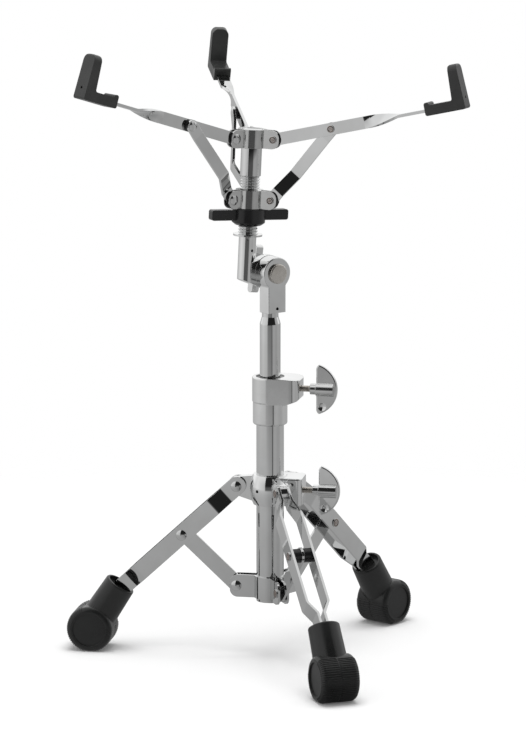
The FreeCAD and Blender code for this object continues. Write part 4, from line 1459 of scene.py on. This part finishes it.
    def floor_material(self) -> bpy.types.Material:
        """Matt white to the camera, and in polished metal a glow in place of the lit floor, dimmer near the stand
        as painted shade.

        Returns:
            The material.
        """
        material = bpy.data.materials.new("pale_floor")
        material.use_nodes = True
        material.cycles.emission_sampling = "NONE"
        material.node_tree.nodes.clear()
        w = Wiring(material.node_tree)
        place = w.add("ShaderNodeTexCoord").outputs["Object"]
        away = w.add("ShaderNodeVectorMath", {0: place}, operation="LENGTH").outputs["Value"]
        clear = w.out("ShaderNodeBsdfTransparent")
        clouds = w.noise(place, self.floor_clouds, self.floor_detail)
        pale = w.span(clouds, self.floor_range, self.floor_white)
        matt = w.out("ShaderNodeBsdfDiffuse", {"Color": pale})
        glow = w.out("ShaderNodeEmission", {"Strength": self.floor_glow})
        lit = w.out("ShaderNodeAddShader", {0: matt, 1: glow})
        seen = w.blend(w.span(away, self.floor_end), lit, clear)
        # Glow that polished metal mirrors in place of the lit floor, dimmer near the stand as painted shade of the
        # stand
        paper = w.out("ShaderNodeEmission", {
            "Color": self.round_about(w, w.split(place), self.paper),
            "Strength": w.span(away, self.paper_near, self.paper_shade),
        })
        mirrored = w.blend(w.span(away, self.paper_end), paper, clear)
        path = w.add("ShaderNodeLightPath").outputs
        other = w.blend(path["Is Glossy Ray"], matt, mirrored)
        shader = w.blend(path["Is Camera Ray"], other, seen)
        w.add("ShaderNodeOutputMaterial", {"Surface": shader})
        return material

    def hang(self, lamp: Softbox) -> None:
        """Hang a lamp aimed at the stand; polished metal mirrors the room's own brightness instead of it.

        Args:
            lamp: the lamp.
        """
        data = bpy.data.lights.new(lamp.name, "AREA")
        data.size = lamp.side
        data.energy = lamp.watts
        made = bpy.data.objects.new(lamp.name, data)
        made.location = lamp.spot
        made.rotation_mode = "QUATERNION"
        made.rotation_quaternion = (Vector(self.target) - Vector(lamp.spot)).to_track_quat("-Z", "Y")
        made.visible_glossy = False
        bpy.context.scene.collection.objects.link(made)


def main() -> None:
    """Dress the stand and set up its studio."""
    logging.basicConfig(level=logging.INFO, format="%(message)s")
    threads = ThreadTree()
    rims = RimTree()
    plugs = PlugTree()
    clamp_thread = ScrewThread(threads, radius=3.0, pitch=1.0, depth=0.5, around=33, rows=10.0)
    post_thread = ScrewThread(threads, radius=9.0, pitch=2.5, depth=1.2, around=65, rows=14.0)
    assemblies = [
        Tripod(
            ("base", "leg_collar", "leg_knob", "height_knob", *numbered("leg_N"), *numbered("brace_N")),
            RivetTails(rims, plugs, rim=2.95, bead=1.05),
            TreadTree(),
            WingScrew(clamp_thread),
            PinEnd(plugs),
        ),
        Column(("rod_guide", "rod", "tilter_nut"), PinEnd(plugs)),
        Basket(
            ("basket", "lower_collar", "basket_nut", *numbered("arm_N"), *numbered("strut_N")),
            RivetTails(rims, plugs, rim=2.5, bead=0.9),
            post_thread,
            PinEnd(plugs, radius=1.26),
        ),
    ]
    for assembly in assemblies:
        assembly.dress()
        assembly.build()
    Studio().build()


if __name__ == "__main__":
    main()
